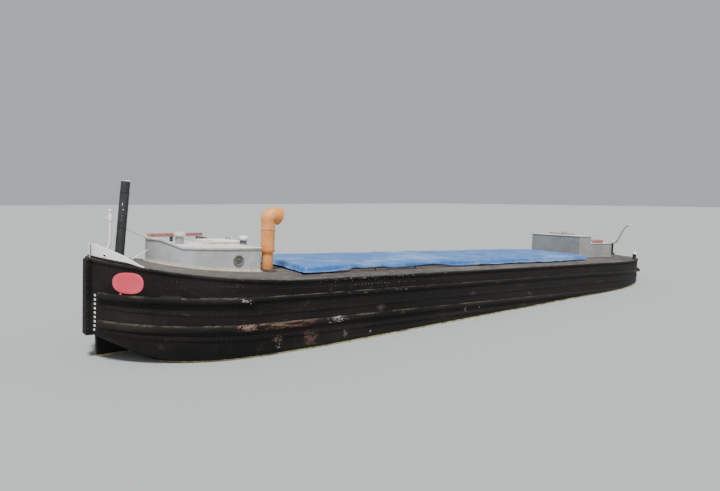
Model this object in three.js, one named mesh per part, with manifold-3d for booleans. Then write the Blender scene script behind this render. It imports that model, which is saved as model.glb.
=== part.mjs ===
// River barge: a riveted steel motor barge with a decked bow, a boarded hold and an engine casing aft.
// Millimetres. +X is forward, +Y port, +Z up. The hull stands on its flat bottom at z = 0, and the
// origin lies under the middle of the whole barge. "aft" is a distance behind the stem's hull face.

import * as THREE from 'three';
import { mergeVertices } from 'three/addons/utils/BufferGeometryUtils.js';
import Module from 'manifold-3d';

const wasm = await Module();
wasm.setup();

const GAP = 0.3;
const SIDES = 24;

const HULL = {
  length: 18600, beam: 4000, depth: 1750,
  bowLength: 2780, bowPower: 1.93,
  sternLength: 3900, sternPower: 2.0,
  bottomBeam: 3800, bottomBowLength: 5600, bottomSternLength: 6000, bottomPower: 1.8,
  bilgeHeight: 120, fullSideHeight: 1000,
  camber: 100, sheerRise: 330, sheerLength: 3600,
  forefootRise: 750, forefootLength: 1900, forefootPower: 1.3,
  counterRise: 880, counterStart: 3800, counterEnd: 900,
  wall: 70, floor: 90, deckPlate: 45,
};

const RUDDER = {
  stockAft: 18380, stockRadius: 35, headZ: 2210, pinRadius: 25, pinGap: 0.8,
  bladeAft: 500, bladeFore: 230, bladeThick: 44, bladeLow: 125, bladeHigh: 840,
  helmAngle: 45,
};

const STEM_OUT = 60;
const bladeReach = RUDDER.stockAft + RUDDER.bladeAft * Math.cos(RUDDER.helmAngle * Math.PI / 180)
  + RUDDER.bladeThick / 2 * Math.sin(RUDDER.helmAngle * Math.PI / 180);
const originAft = (bladeReach - STEM_OUT) / 2;

const rad = degrees => degrees * Math.PI / 180;
const at = aft => originAft - aft;
const clamp = (v, low, high) => Math.min(high, Math.max(low, v));
const smooth = v => { const s = clamp(v, 0, 1); return s * s * (3 - 2 * s); };

// Hull form

// Half breadth of a plan outline whose two ends are superellipses.
function halfBreadth(aft, half, bow, bowPower, stern, sternPower) {
  const fore = clamp(1 - aft / bow, 0, 1);
  const back = clamp(1 - (HULL.length - aft) / stern, 0, 1);
  return half * (1 - fore ** bowPower) ** (1 / bowPower) * (1 - back ** sternPower) ** (1 / sternPower);
}

const deckHalf = aft => halfBreadth(aft, HULL.beam / 2, HULL.bowLength, HULL.bowPower,
  HULL.sternLength, HULL.sternPower);

const bottomHalf = aft => Math.min(deckHalf(aft) - 8, halfBreadth(aft, HULL.bottomBeam / 2,
  HULL.bottomBowLength, HULL.bottomPower, HULL.bottomSternLength, HULL.bottomPower));

// The flat bottom rises in a power curve to the stem, and in a cosine under the counter.
function bottomZ(aft) {
  const fore = clamp(1 - aft / HULL.forefootLength, 0, 1);
  const run = HULL.counterStart - HULL.counterEnd;
  const back = clamp((aft - (HULL.length - HULL.counterStart)) / run, 0, 1);
  return HULL.forefootRise * fore ** HULL.forefootPower
    + HULL.counterRise * (1 - Math.cos(Math.PI * back)) / 2;
}

const deckEdgeZ = aft => HULL.depth + HULL.sheerRise * clamp(1 - aft / HULL.sheerLength, 0, 1) ** 2;

// Height of the crowned deck at a distance from the centre line.
function deckZ(aft, y = 0) {
  const half = deckHalf(aft);
  return deckEdgeZ(aft) + HULL.camber * half / (HULL.beam / 2) * (1 - Math.min(1, (y / half) ** 2));
}

function bilgeRise(aft) {
  const fore = 1 - smooth((aft - 2500) / 3500);
  const back = smooth((aft - (HULL.length - 6500)) / 3500);
  return HULL.bilgeHeight
    + (HULL.fullSideHeight - bottomZ(aft) - HULL.bilgeHeight) * Math.max(fore, back);
}

// Outward plan normal of the deck outline on the port side.
function planNormal(aft) {
  const step = 2;
  const slope = (deckHalf(clamp(aft + step, 0, HULL.length)) - deckHalf(clamp(aft - step, 0, HULL.length)));
  const length = Math.hypot(slope, 2 * step);
  return { x: slope / length, y: 2 * step / length };
}

// One closed section of the hull. grow moves its sides out, low its bottom down and high its deck up.
function section(aft, { grow = 0, low = 0, high = 0 } = {}) {
  const normal = planNormal(aft);
  const side = deckHalf(aft) + grow * normal.y;
  const base = bottomHalf(aft) + grow * normal.y;
  const foot = bottomZ(aft) - low;
  const rise = bilgeRise(aft);
  const x = at(aft) + grow * normal.x;
  const half = [[base, foot]];
  for (const angle of [22.5, 45, 67.5, 90]) {
    half.push([base + (side - base) * Math.sin(rad(angle)), foot + rise * (1 - Math.cos(rad(angle)))]);
  }
  half.push([side, deckEdgeZ(aft) + high]);
  half.push([side * 0.62, deckZ(aft, deckHalf(aft) * 0.62) + high]);
  const port = half.map(([y, z]) => [x, y, z]);
  const starboard = half.map(([y, z]) => [x, -y, z]).reverse();
  return [[x, 0, foot], ...port, [x, 0, deckZ(aft) + high], ...starboard];
}

function stations() {
  const ends = [6, 13, 21, 30, 40, 51, 63, 76, 90];
  const bow = ends.map(t => HULL.bowLength * (1 - Math.cos(rad(t))));
  const stern = ends.map(t => HULL.length - HULL.sternLength * (1 - Math.cos(rad(t)))).reverse();
  return [...bow, 3500, 4400, 5600, 9300, 12200, 13200, 14000, ...stern];
}

// Solids

function solidOf(geometry) {
  const plain = geometry.clone();
  plain.deleteAttribute('normal');
  plain.deleteAttribute('uv');
  const merged = mergeVertices(plain, 1e-3);
  return new wasm.Manifold(new wasm.Mesh({
    numProp: 3,
    vertProperties: Float32Array.from(merged.attributes.position.array),
    triVerts: Uint32Array.from(merged.index.array),
  }));
}

function geometryOf(solid) {
  const mesh = solid.getMesh();
  const geometry = new THREE.BufferGeometry();
  const points = [];
  for (let i = 0; i < mesh.vertProperties.length; i += mesh.numProp) {
    points.push(mesh.vertProperties[i], mesh.vertProperties[i + 1], mesh.vertProperties[i + 2]);
  }
  geometry.setAttribute('position', new THREE.Float32BufferAttribute(points, 3));
  geometry.setIndex(Array.from(mesh.triVerts));
  return geometry;
}

// Closed body through rings of equal count, its ends closed by fans.
function loft(rings) {
  const count = rings[0].length;
  const last = rings.length - 1;
  const index = [];
  for (let i = 0; i < last; i++) {
    for (let j = 0; j < count; j++) {
      const a = i * count + j;
      const b = i * count + (j + 1) % count;
      index.push(a, b, b + count, a, b + count, a + count);
    }
  }
  for (let j = 1; j < count - 1; j++) {
    index.push(0, j + 1, j, last * count, last * count + j, last * count + j + 1);
  }
  const geometry = new THREE.BufferGeometry();
  geometry.setAttribute('position', new THREE.Float32BufferAttribute(rings.flat(2), 3));
  geometry.setIndex(index);
  return signedVolume(geometry) < 0 ? flipped(geometry) : geometry;
}

function signedVolume(geometry) {
  const p = geometry.attributes.position;
  const [a, b, c] = [new THREE.Vector3(), new THREE.Vector3(), new THREE.Vector3()];
  let sum = 0;
  for (let i = 0; i < geometry.index.count; i += 3) {
    a.fromBufferAttribute(p, geometry.index.getX(i));
    b.fromBufferAttribute(p, geometry.index.getX(i + 1));
    c.fromBufferAttribute(p, geometry.index.getX(i + 2));
    sum += a.dot(b.cross(c));
  }
  return sum;
}

function flipped(geometry) {
  const old = Array.from(geometry.index.array);
  const index = [];
  for (let i = 0; i < old.length; i += 3) index.push(old[i], old[i + 2], old[i + 1]);
  geometry.setIndex(index);
  return geometry;
}

const boxSolid = (x0, x1, y0, y1, z0, z1) => solidOf(new THREE.BoxGeometry(x1 - x0, y1 - y0, z1 - z0)
  .translate((x0 + x1) / 2, (y0 + y1) / 2, (z0 + z1) / 2));

// Box between two distances aft.
const span = (fore, aft, y0, y1, z0, z1) => boxSolid(at(aft), at(fore), y0, y1, z0, z1);

const upright = (radius, z0, z1, sides = SIDES) => new THREE.CylinderGeometry(radius, radius, z1 - z0, sides)
  .rotateX(Math.PI / 2).translate(0, 0, (z0 + z1) / 2);

const lengthwise = (radius, fore, aft, z, sides = SIDES) => solidOf(
  new THREE.CylinderGeometry(radius, radius, aft - fore, sides)
    .rotateZ(Math.PI / 2).translate(at((fore + aft) / 2), 0, z));

// Lathe about +Z from [radius, height] pairs that start and end on the axis.
const turned = (profile, sides = SIDES) => new THREE.LatheGeometry(
  profile.map(([r, z]) => new THREE.Vector2(r, z)), sides).rotateX(Math.PI / 2);

// Upright prism of a plan shape.
const prism = (shape, z0, z1) => solidOf(new THREE.ExtrudeGeometry(shape, {
  depth: z1 - z0, bevelEnabled: false, curveSegments: 10 }).translate(0, 0, z0));

const hullShape = allowances => solidOf(loft(stations().map(aft => section(aft, allowances))));
const envelope = grow => hullShape({ grow, low: grow, high: grow });
const hullBody = envelope(0);
const hullSeat = envelope(GAP);
const seated = solid => solid.subtract(hullSeat);

const group = new THREE.Group();

const FINISH = {
  hullBlack: [0x1b1a1a, 0.6, 0.1], deckGrey: [0x5b5a57, 0.8, 0.1], white: [0xe6e4de, 0.5, 0],
  cabinGrey: [0x8c918f, 0.6, 0.1], signRed: [0xc6404c, 0.5, 0], terracotta: [0xc98558, 0.6, 0],
  tarpBlue: [0x4f83bd, 0.6, 0], timber: [0x7a4a35, 0.8, 0], hatchRed: [0xa4625c, 0.6, 0],
  postBlack: [0x26302f, 0.7, 0.1], iron: [0x3d3a38, 0.6, 0.6], engineGreen: [0x3f5a4a, 0.5, 0.2],
  glass: [0x6b6a60, 0.2, 0], bronze: [0x9a7b3e, 0.4, 0.9],
};

function add(name, geometry, finish) {
  const [color, roughness, metalness] = FINISH[finish];
  const mesh = new THREE.Mesh(geometry, new THREE.MeshStandardMaterial({ color, roughness, metalness }));
  mesh.name = name;
  group.add(mesh);
}

const addSolid = (name, solid, finish) => add(name, geometryOf(solid), finish);

// Rooms below deck, and what stands over their deck openings

const ROOMS = {
  foreCabin: { fore: 1000, aft: 3580 },
  hold: { fore: 3640, aft: 14080 },
  engineRoom: { fore: 14140, aft: 17000 },
};

const TRUNK = { fore: 1050, round: 1300, aft: 2870, half: 1100, wall: 30, roof: 20, rim: 18,
  top: 2286, browTop: 2423, browAft: 1140, browFoot: 1420 };
const HATCHWAY = { fore: 3700, aft: 14000, half: 1380, wall: 40, top: 1862 };
const CASING = { fore: 15250, aft: 16600, half: 900, wall: 30, top: 2260, roof: 20 };
const COMPANION = { fore: 14560, half: 900, top: 2500 };

// Space of a room, open upwards through the deck plating's place.
function room({ fore, aft }) {
  const steps = 12;
  const inside = { grow: -HULL.wall, low: -HULL.floor, high: HULL.deckPlate };
  const rings = Array.from({ length: steps + 1 }, (_, i) => {
    const place = fore + (aft - fore) * i / steps;
    return section(place, inside).map(([, y, z]) => [at(place), y, z]);
  });
  return solidOf(loft(rings));
}

// Plan of the fore cabin trunk: a half ellipse in front and straight sides behind.
function trunkPlan(inset) {
  const half = TRUNK.half - inset;
  const shape = new THREE.Shape();
  const shoulder = at(TRUNK.fore + TRUNK.round);
  shape.moveTo(at(TRUNK.aft) + inset, -half);
  shape.lineTo(shoulder, -half);
  shape.absellipse(shoulder, 0, TRUNK.round - inset, half, -Math.PI / 2, Math.PI / 2);
  shape.lineTo(at(TRUNK.aft) + inset, half);
  shape.closePath();
  return shape;
}

// Hull sections, which part at the ends of the hold, and the decks that lie on them

const SECTIONS = [
  { name: 'hull_bow', fore: -100, aft: ROOMS.hold.fore },
  { name: 'hull_midship', fore: ROOMS.hold.fore, aft: ROOMS.hold.aft },
  { name: 'hull_stern', fore: ROOMS.hold.aft, aft: HULL.length + 100 },
];
const DECK_LIP = 60;
const STOCK_HOLE = 43;

function hullSections() {
  const shaftWay = lengthwise(SHAFT.radius + SHAFT.gap, SHAFT.wayFore, HULL.length, SHAFT.z);
  const spaces = [...Object.values(ROOMS).map(room), shaftWay, stockWay()];
  const shell = spaces.reduce((left, space) => left.subtract(space),
    hullBody.intersect(hullShape({ grow: 1, low: 1, high: -HULL.deckPlate - GAP })));
  for (const { name, fore, aft } of SECTIONS) {
    const reach = span(fore + GAP / 2, aft - GAP / 2, -3000, 3000, -100, 3000);
    addSolid(name, shell.intersect(reach), 'hullBlack');
  }
}

const stockWay = () => solidOf(upright(STOCK_HOLE, 500, 2500).translate(at(RUDDER.stockAft), 0, 0));

// Opening in the deck inside a coaming, which leaves a lip of plating.
const deckWay = (fore, aft, half) => span(fore + DECK_LIP, aft - DECK_LIP, -half + DECK_LIP, half - DECK_LIP,
  1500, 2500);

// The fore and after decks span the beam. The side decks are strips beside the hatchway.
const WAY_FORE = HATCHWAY.fore + DECK_LIP;
const WAY_AFT = HATCHWAY.aft - DECK_LIP;
const DECKS = [
  { name: 'fore_deck', fore: -100, aft: WAY_FORE, low: -3000, high: 3000 },
  { name: 'side_deck_port', fore: WAY_FORE, aft: WAY_AFT, low: 0, high: 3000 },
  { name: 'side_deck_starboard', fore: WAY_FORE, aft: WAY_AFT, low: -3000, high: 0 },
  { name: 'after_deck', fore: WAY_AFT, aft: HULL.length + 100, low: -3000, high: 3000 },
];

function decks() {
  const ways = [
    prism(trunkPlan(TRUNK.wall + DECK_LIP), 1500, 2500),
    deckWay(HATCHWAY.fore, HATCHWAY.aft, HATCHWAY.half),
    deckWay(COMPANION.fore, CASING.aft, CASING.half),
    stockWay(),
  ];
  const plate = hullBody.subtract(hullShape({ grow: 1, low: 1, high: -HULL.deckPlate }));
  const pierced = ways.reduce((left, way) => left.subtract(way), plate);
  for (const { name, fore, aft, low, high } of DECKS) {
    const reach = span(fore + GAP / 2, aft - GAP / 2, low, high, 1500, 2500);
    addSolid(name, pierced.intersect(reach), 'deckGrey');
  }
}

// Backbone: stem bar, forefoot, deadwood with the stern tube and the sole under the rudder

const SHAFT = { radius: 30, gap: 0.8, z: 500, fore: 15506, wayFore: 15600, tubeRadius: 95, tubeFore: 16800 };
const KEEL = { stemHalf: 125, stemTop: 2060, stemFoot: 700, forefootHalf: 60, deadwoodHalf: 45,
  postFore: 14700, postAft: 17600, soleAft: 18480, soleHeight: 85, soleHalf: 60, bottomGap: 6 };

function backbone() {
  addSolid('stem_post', seated(boxSolid(at(100), at(0) + STEM_OUT, -KEEL.stemHalf, KEEL.stemHalf,
    KEEL.stemFoot, KEEL.stemTop)), 'hullBlack');
  const foot = new THREE.Shape([[at(130), KEEL.stemFoot - GAP], [at(160), 240], [at(620), KEEL.bottomGap],
    [at(2200), KEEL.bottomGap], [at(2200), KEEL.stemFoot - GAP]].map(([x, z]) => new THREE.Vector2(x, z)));
  const plate = new THREE.ExtrudeGeometry(foot, { depth: 2 * KEEL.forefootHalf, bevelEnabled: false })
    .rotateX(Math.PI / 2).translate(0, KEEL.forefootHalf, 0);
  addSolid('forefoot', seated(solidOf(plate)), 'hullBlack');
  const { postFore, postAft, soleAft, deadwoodHalf, soleHalf, soleHeight, bottomGap } = KEEL;
  const deadwood = span(postFore, postAft, -deadwoodHalf, deadwoodHalf, bottomGap, 1000)
    .add(span(postFore, soleAft, -soleHalf, soleHalf, bottomGap, soleHeight))
    .add(lengthwise(SHAFT.tubeRadius, SHAFT.tubeFore, postAft + 60, SHAFT.z))
    .subtract(lengthwise(SHAFT.radius + SHAFT.gap, SHAFT.wayFore, HULL.length, SHAFT.z))
    .subtract(solidOf(upright(RUDDER.pinRadius + RUDDER.pinGap, -10, 200)
      .translate(at(RUDDER.stockAft), 0, 0)));
  addSolid('deadwood', seated(deadwood), 'hullBlack');
}

// Rubbing strakes: half-round bars that thin out aft of the bow

// aft, height, projection and drop below the top line of each strake where they change
const STRAKES = [
  { name: 'upper_strake', top: 1487, rise: 32,
    run: [{ aft: 20, height: 130, out: 60, drop: 0 }, { aft: 2250, height: 130, out: 60, drop: 0 },
      { aft: 2350, height: 90, out: 30, drop: 0 }, { aft: 13500, height: 90, out: 30, drop: 0 },
      { aft: 16900, height: 90, out: 30, drop: 49 }, { aft: 17300, height: 105, out: 100, drop: 55 },
      { aft: 18000, height: 105, out: 110, drop: 65 }, { aft: 18600, height: 105, out: 110, drop: 65 }] },
  { name: 'lower_strake', top: 1001, rise: 33,
    run: [{ aft: 20, height: 140, out: 45, drop: 0 }, { aft: 3600, height: 120, out: 45, drop: 0 },
      { aft: 6000, height: 115, out: 42, drop: 0 }, { aft: 16000, height: 100, out: 40, drop: 50 },
      { aft: 18600, height: 80, out: 60, drop: 60 }] },
];

function along(run, aft, key) {
  const next = run.findIndex(row => row.aft >= aft);
  if (next <= 0) return run[Math.max(0, next)][key];
  const [a, b] = [run[next - 1], run[next]];
  return a[key] + (b[key] - a[key]) * (aft - a.aft) / (b.aft - a.aft);
}

function strake({ name, top, rise, run }, side) {
  const turns = [14, 21, 29, 38, 48, 60, 74];
  const bow = turns.map(t => HULL.bowLength * (1 - Math.cos(rad(t))));
  const stern = turns.map(t => HULL.length - HULL.sternLength * (1 - Math.cos(rad(t)))).reverse();
  const places = [...bow, 2250, 2350, 2900, 6000, 9300, 13500, 14650, ...stern, HULL.length];
  const rings = places.map(aft => {
    const normal = aft === HULL.length ? { x: -1, y: 0 } : planNormal(aft);
    const half = aft === HULL.length ? 0.6 : deckHalf(aft);
    const height = along(run, aft, 'height');
    const out = along(run, aft, 'out');
    const high = top - along(run, aft, 'drop') + rise * clamp(1 - aft / HULL.sheerLength, 0, 1) ** 2;
    return [[-30, 0], [-30, -height], [0, -height], [out * 0.75, -height * 0.86], [out, -height * 0.6],
      [out, -height * 0.4], [out * 0.75, -height * 0.14], [0, 0]].map(([push, drop]) =>
      [at(aft) + push * normal.x, side * (half + push * normal.y), high + drop]);
  });
  const ownSide = boxSolid(-20000, 20000, side > 0 ? GAP : -3000, side > 0 ? 3000 : -GAP, 0, 3000);
  return seated(solidOf(loft(rings))).intersect(ownSide);
}

function strakes() {
  for (const row of STRAKES) {
    for (const [word, side] of [['port', 1], ['starboard', -1]]) {
      addSolid(`${row.name}_${word}`, strake(row, side), 'hullBlack');
    }
  }
}

// Bow bulwarks and number boards

// turn round the bow ellipse in degrees and height above the deck edge
const BULWARK = { thick: 24, inset: 30,
  run: [{ turn: 3, height: 262 }, { turn: 9, height: 263 }, { turn: 17, height: 226 },
    { turn: 25, height: 181 }, { turn: 31, height: 122 }, { turn: 38, height: 11 }] };

function bulwark(side) {
  const rings = BULWARK.run.map(({ turn, height }) => {
    const aft = HULL.bowLength * (1 - Math.cos(rad(turn)));
    const normal = planNormal(aft);
    const foot = deckEdgeZ(aft);
    return [[BULWARK.inset, -20], [BULWARK.inset + BULWARK.thick, -20],
      [BULWARK.inset + BULWARK.thick, height], [BULWARK.inset, height]].map(([inward, up]) =>
      [at(aft) - inward * normal.x, side * (deckHalf(aft) - inward * normal.y), foot + up]);
  });
  return seated(solidOf(loft(rings)));
}

const BOARD = { turn: 31.3, z: 1712, width: 562, height: 358, thick: 10 };

function board(side) {
  const aft = HULL.bowLength * (1 - Math.cos(rad(BOARD.turn)));
  const normal = planNormal(aft);
  const oval = new THREE.Shape().absellipse(0, 0, BOARD.width / 2, BOARD.height / 2, 0, 2 * Math.PI);
  const block = new THREE.ExtrudeGeometry(oval, { depth: 700, bevelEnabled: false, curveSegments: 12 })
    .translate(0, 0, -350).rotateX(Math.PI / 2).rotateZ(-side * Math.atan2(normal.x, normal.y))
    .translate(at(aft), side * deckHalf(aft), BOARD.z);
  return solidOf(block).intersect(envelope(BOARD.thick)).subtract(hullSeat);
}

function bowTrim() {
  for (const [word, side] of [['port', 1], ['starboard', -1]]) {
    addSolid(`bow_bulwark_${word}`, bulwark(side), 'white');
    addSolid(`number_board_${word}`, board(side), 'signRed');
  }
}

// Fore deck: towing post and jackstaff

const POST = { aft: 522, radius: 83, topRadius: 80, length: 1532, sink: 80, lean: 4.2 };
const STAFF = { aft: 370, radius: 26, length: 893 };

function foredeck() {
  const post = turned([[0, 0], [POST.radius, 0], [POST.radius, 1300], [POST.topRadius, 1330],
    [POST.topRadius, POST.length - 20], [POST.topRadius - 18, POST.length], [0, POST.length]])
    .rotateY(-rad(POST.lean)).translate(at(POST.aft), 0, deckZ(POST.aft) - POST.sink);
  addSolid('towing_post', seated(solidOf(post)), 'postBlack');
  const staff = turned([[0, -60], [60, -60], [60, 20], [STAFF.radius + 6, 34], [STAFF.radius, 60],
    [STAFF.radius, STAFF.length - 230], [STAFF.radius + 8, STAFF.length - 220],
    [STAFF.radius + 8, STAFF.length - 120], [STAFF.radius, STAFF.length - 110],
    [STAFF.radius, STAFF.length - 50], [STAFF.radius + 11, STAFF.length - 25],
    [STAFF.radius + 6, STAFF.length - 4], [0, STAFF.length]], 12)
    .translate(at(STAFF.aft), 0, deckZ(STAFF.aft));
  addSolid('jackstaff', seated(solidOf(staff)), 'white');
}

// Fore cabin: a low trunk whose roof rises to a brow in front, portholes, a hinged hatch and vents

// Height of the roof's underside: level, with a ramp up to the brow in front.
function roofZ(aft) {
  const climb = (TRUNK.browFoot - aft) / (TRUNK.browFoot - TRUNK.browAft);
  return TRUNK.top + (TRUNK.browTop - TRUNK.top) * Math.min(1, Math.max(0, climb));
}

const PORTHOLE = { aft: 2390, z: 2060, bore: 85, rim: 112, proud: 16 };
const CABIN_HATCH = { fore: 2110, aft: 2760, half: 350, frame: 55, frameHeight: 60, lid: 26 };

// Everything below the roof's underside, lifted by some height.
function belowRoof(lift) {
  const line = [0, TRUNK.browAft, TRUNK.browFoot, 5000].map(aft => [at(aft), roofZ(aft) + lift]);
  const outline = [[at(5000), 0], [at(0), 0], ...line].map(([x, z]) => new THREE.Vector2(x, z));
  return solidOf(new THREE.ExtrudeGeometry(new THREE.Shape(outline), { depth: 4000, bevelEnabled: false })
    .rotateX(Math.PI / 2).translate(0, 2000, 0));
}

// Piece of a plan prism between two heights over the roof's underside.
const onRoof = (shape, low, high) => prism(shape, 1900, 2900).intersect(belowRoof(high))
  .subtract(belowRoof(low));

function rectangle(fore, aft, half) {
  return new THREE.Shape([[at(aft), -half], [at(fore), -half], [at(fore), half], [at(aft), half]]
    .map(([x, y]) => new THREE.Vector2(x, y)));
}

function foreCabin() {
  const walls = prism(trunkPlan(0), 1600, 2600).subtract(prism(trunkPlan(TRUNK.wall), 1500, 2700));
  const bore = solidOf(new THREE.CylinderGeometry(PORTHOLE.bore + GAP, PORTHOLE.bore + GAP, 5000, SIDES)
    .translate(at(PORTHOLE.aft), 0, PORTHOLE.z));
  addSolid('cabin_coaming', seated(walls.intersect(belowRoof(0)).subtract(bore)), 'cabinGrey');
  const { fore, aft, half, frame, frameHeight, lid } = CABIN_HATCH;
  const roof = onRoof(trunkPlan(-TRUNK.rim), GAP, TRUNK.roof)
    .add(onRoof(rectangle(fore, aft, half), GAP, TRUNK.roof + frameHeight))
    .subtract(prism(rectangle(fore + frame, aft - frame, half - frame), 1500, 3000));
  addSolid('cabin_roof', roof, 'cabinGrey');
  const seat = TRUNK.roof + frameHeight + GAP;
  addSolid('cabin_hatch', onRoof(rectangle(fore, aft + 15, half + 20), seat, seat + lid), 'white');
}

function portholes() {
  for (const [word, side] of [['port', 1], ['starboard', -1]]) {
    const outer = TRUNK.half + PORTHOLE.proud;
    const plug = new THREE.CylinderGeometry(PORTHOLE.bore, PORTHOLE.bore, TRUNK.wall + PORTHOLE.proud, SIDES)
      .translate(0, side * (outer - (TRUNK.wall + PORTHOLE.proud) / 2), 0);
    const flange = new THREE.CylinderGeometry(PORTHOLE.rim, PORTHOLE.rim, PORTHOLE.proud - GAP, SIDES)
      .translate(0, side * (outer - (PORTHOLE.proud - GAP) / 2), 0);
    const recess = new THREE.CylinderGeometry(PORTHOLE.bore - 12, PORTHOLE.bore - 12, 20, SIDES)
      .translate(0, side * outer, 0);
    const body = solidOf(plug).add(solidOf(flange)).subtract(solidOf(recess))
      .translate([at(PORTHOLE.aft), 0, PORTHOLE.z]);
    addSolid(`porthole_${word}`, body, 'glass');
  }
}

// name, aft, y, and [radius, height] profile over its seat
const VENTS = [
  { name: 'mushroom_vent_large', aft: 1710, y: -130, roof: true, finish: 'cabinGrey',
    profile: [[0, -40], [82, -40], [82, 150], [112, 156], [116, 196], [96, 228], [0, 243]] },
  { name: 'mushroom_vent_small', aft: 1800, y: -830, roof: true, finish: 'iron',
    profile: [[0, -40], [34, -40], [34, 85], [41, 90], [38, 118], [0, 128]] },
  { name: 'deck_vent', aft: 3290, y: -500, roof: false, finish: 'white',
    profile: [[0, -40], [74, -40], [74, 500], [103, 508], [103, 545], [75, 590], [0, 605]] },
];

function vents() {
  for (const { name, aft, y, roof, finish, profile } of VENTS) {
    const foot = roof ? roofZ(aft) + TRUNK.roof : deckZ(aft, y);
    const body = solidOf(turned(profile, 20).translate(at(aft), y, foot));
    addSolid(name, roof ? body.subtract(belowRoof(TRUNK.roof + GAP)) : seated(body), finish);
  }
}

// Vent pipe behind the fore cabin: an upright pipe, an elbow that opens aft, and a deck collar

const PIPE = { aft: 3060, y: 1000, radius: 125, wall: 9, top: 2770, bend: 150, mouth: 3320,
  socket: 165, socketLength: 120, collar: 190, sunk: 120, lap: 120 };

const tubeRing = (outer, inner) => {
  const shape = new THREE.Shape().absarc(0, 0, outer, 0, 2 * Math.PI);
  shape.holes.push(new THREE.Path().absarc(0, 0, inner, 0, 2 * Math.PI));
  return shape;
};

function ventPipe() {
  const foot = deckZ(PIPE.aft, PIPE.y);
  const straight = (outer, inner, z0, z1) => solidOf(new THREE.ExtrudeGeometry(tubeRing(outer, inner),
    { depth: z1 - z0, bevelEnabled: false, curveSegments: 9 }).translate(at(PIPE.aft), PIPE.y, z0));
  const bore = PIPE.radius - PIPE.wall;
  const pipe = straight(PIPE.radius, bore, foot - PIPE.sunk, PIPE.top - PIPE.lap);
  addSolid('vent_pipe', seated(pipe), 'terracotta');
  const collar = straight(PIPE.collar, PIPE.radius + GAP, foot - 60, foot + 35);
  addSolid('vent_collar', seated(collar), 'iron');
  const bend = new THREE.CurvePath();
  const top = PIPE.top + PIPE.bend;
  bend.add(new THREE.LineCurve3(new THREE.Vector3(0, 0, PIPE.top - PIPE.lap + GAP),
    new THREE.Vector3(0, 0, PIPE.top)));
  bend.add(new THREE.QuadraticBezierCurve3(new THREE.Vector3(0, 0, PIPE.top), new THREE.Vector3(0, 0, top),
    new THREE.Vector3(-PIPE.bend, 0, top)));
  bend.add(new THREE.LineCurve3(new THREE.Vector3(-PIPE.bend, 0, top),
    new THREE.Vector3(at(PIPE.mouth) - at(PIPE.aft), 0, top)));
  const elbow = solidOf(new THREE.ExtrudeGeometry(tubeRing(PIPE.radius, bore),
    { steps: 14, extrudePath: bend, curveSegments: 9 }).translate(at(PIPE.aft), PIPE.y, 0));
  const mouthRing = new THREE.ExtrudeGeometry(tubeRing(PIPE.socket, PIPE.radius - 2),
    { depth: PIPE.socketLength, bevelEnabled: false, curveSegments: 9 })
    .rotateY(Math.PI / 2).translate(at(PIPE.mouth), PIPE.y, top);
  const mouth = solidOf(mouthRing);
  addSolid('vent_elbow', elbow.add(mouth), 'terracotta');
}

// Hold: coaming, crowned hatch sections, timber ledges and the tarpaulin over them

const HATCH = { count: 4, thick: 55, crown: 60, over: 45, between: 8 };
const LEDGE = { thick: 45, low: 1772, high: 1842 };
const TARP = { thick: 12, fore: 3660, aft: 14330, half: 1475, skirt: 70 };

const coverHalf = HATCHWAY.half + HATCH.over;

// Arched strip across the barge, drawn in y and z and pulled along x.
function arch(half, low, thick, crown, fore, aft, skirt = 0) {
  const steps = 8;
  const shape = new THREE.Shape();
  const rise = y => crown * (1 - (y / half) ** 2);
  const across = Array.from({ length: steps + 1 }, (_, i) => -half + 2 * half * i / steps);
  const top = across.map(y => [y, low + thick + rise(y)]);
  const under = across.map(y => [y, low + rise(y)]).reverse();
  const drop = skirt ? [[half, low - skirt], [half - thick, low - skirt], [half - thick, low]] : [];
  const mirror = skirt ? [[-half + thick, low], [-half + thick, low - skirt], [-half, low - skirt]] : [];
  const inner = skirt ? under.slice(1, -1) : under;
  shape.setFromPoints([...top, ...drop, ...inner, ...mirror].map(([y, z]) => new THREE.Vector2(y, z)));
  return new THREE.ExtrudeGeometry(shape, { depth: aft - fore, bevelEnabled: false })
    .rotateX(Math.PI / 2).rotateZ(Math.PI / 2).translate(at(aft), 0, 0);
}

function holdCover() {
  const { fore, aft, half, wall, top } = HATCHWAY;
  const frame = span(fore, aft, -half, half, 1600, top + HATCH.crown)
    .subtract(span(fore + wall, aft - wall, -half + wall, half - wall, 1500, 2100))
    .subtract(solidOf(arch(coverHalf, top, 300, HATCH.crown, fore - 50, aft + 50)));
  addSolid('hold_coaming', seated(frame), 'deckGrey');
  const pitch = (aft - fore) / HATCH.count;
  for (let i = 0; i < HATCH.count; i++) {
    const first = fore + i * pitch + HATCH.between / 2;
    const panel = arch(coverHalf, top + GAP, HATCH.thick, HATCH.crown, first, first + pitch - HATCH.between);
    add(`hatch_section_${i + 1}`, panel, 'timber');
  }
  const ledge = (y0, y1) => seated(span(fore + 80, aft - 80, y0, y1, LEDGE.low, LEDGE.high));
  addSolid('hatch_ledge_port', ledge(half + GAP, half + LEDGE.thick), 'timber');
  addSolid('hatch_ledge_starboard', ledge(-half - LEDGE.thick, -half - GAP), 'timber');
  const low = top + 2 * GAP + HATCH.thick;
  const cover = arch(TARP.half, low, TARP.thick, HATCH.crown, TARP.fore, TARP.aft, TARP.skirt);
  add('tarpaulin', cover, 'tarpBlue');
}

// Engine casing and companion over the engine room, with their hatches

const ENGINE_HATCH = { fore: 15340, aft: 16020, half: 880, frame: 50, frameHeight: 80, lid: 40 };
const COMPANION_HATCH = { fore: 14640, aft: 15180, half: 330, frame: 45, frameHeight: 30, lid: 28 };

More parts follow.
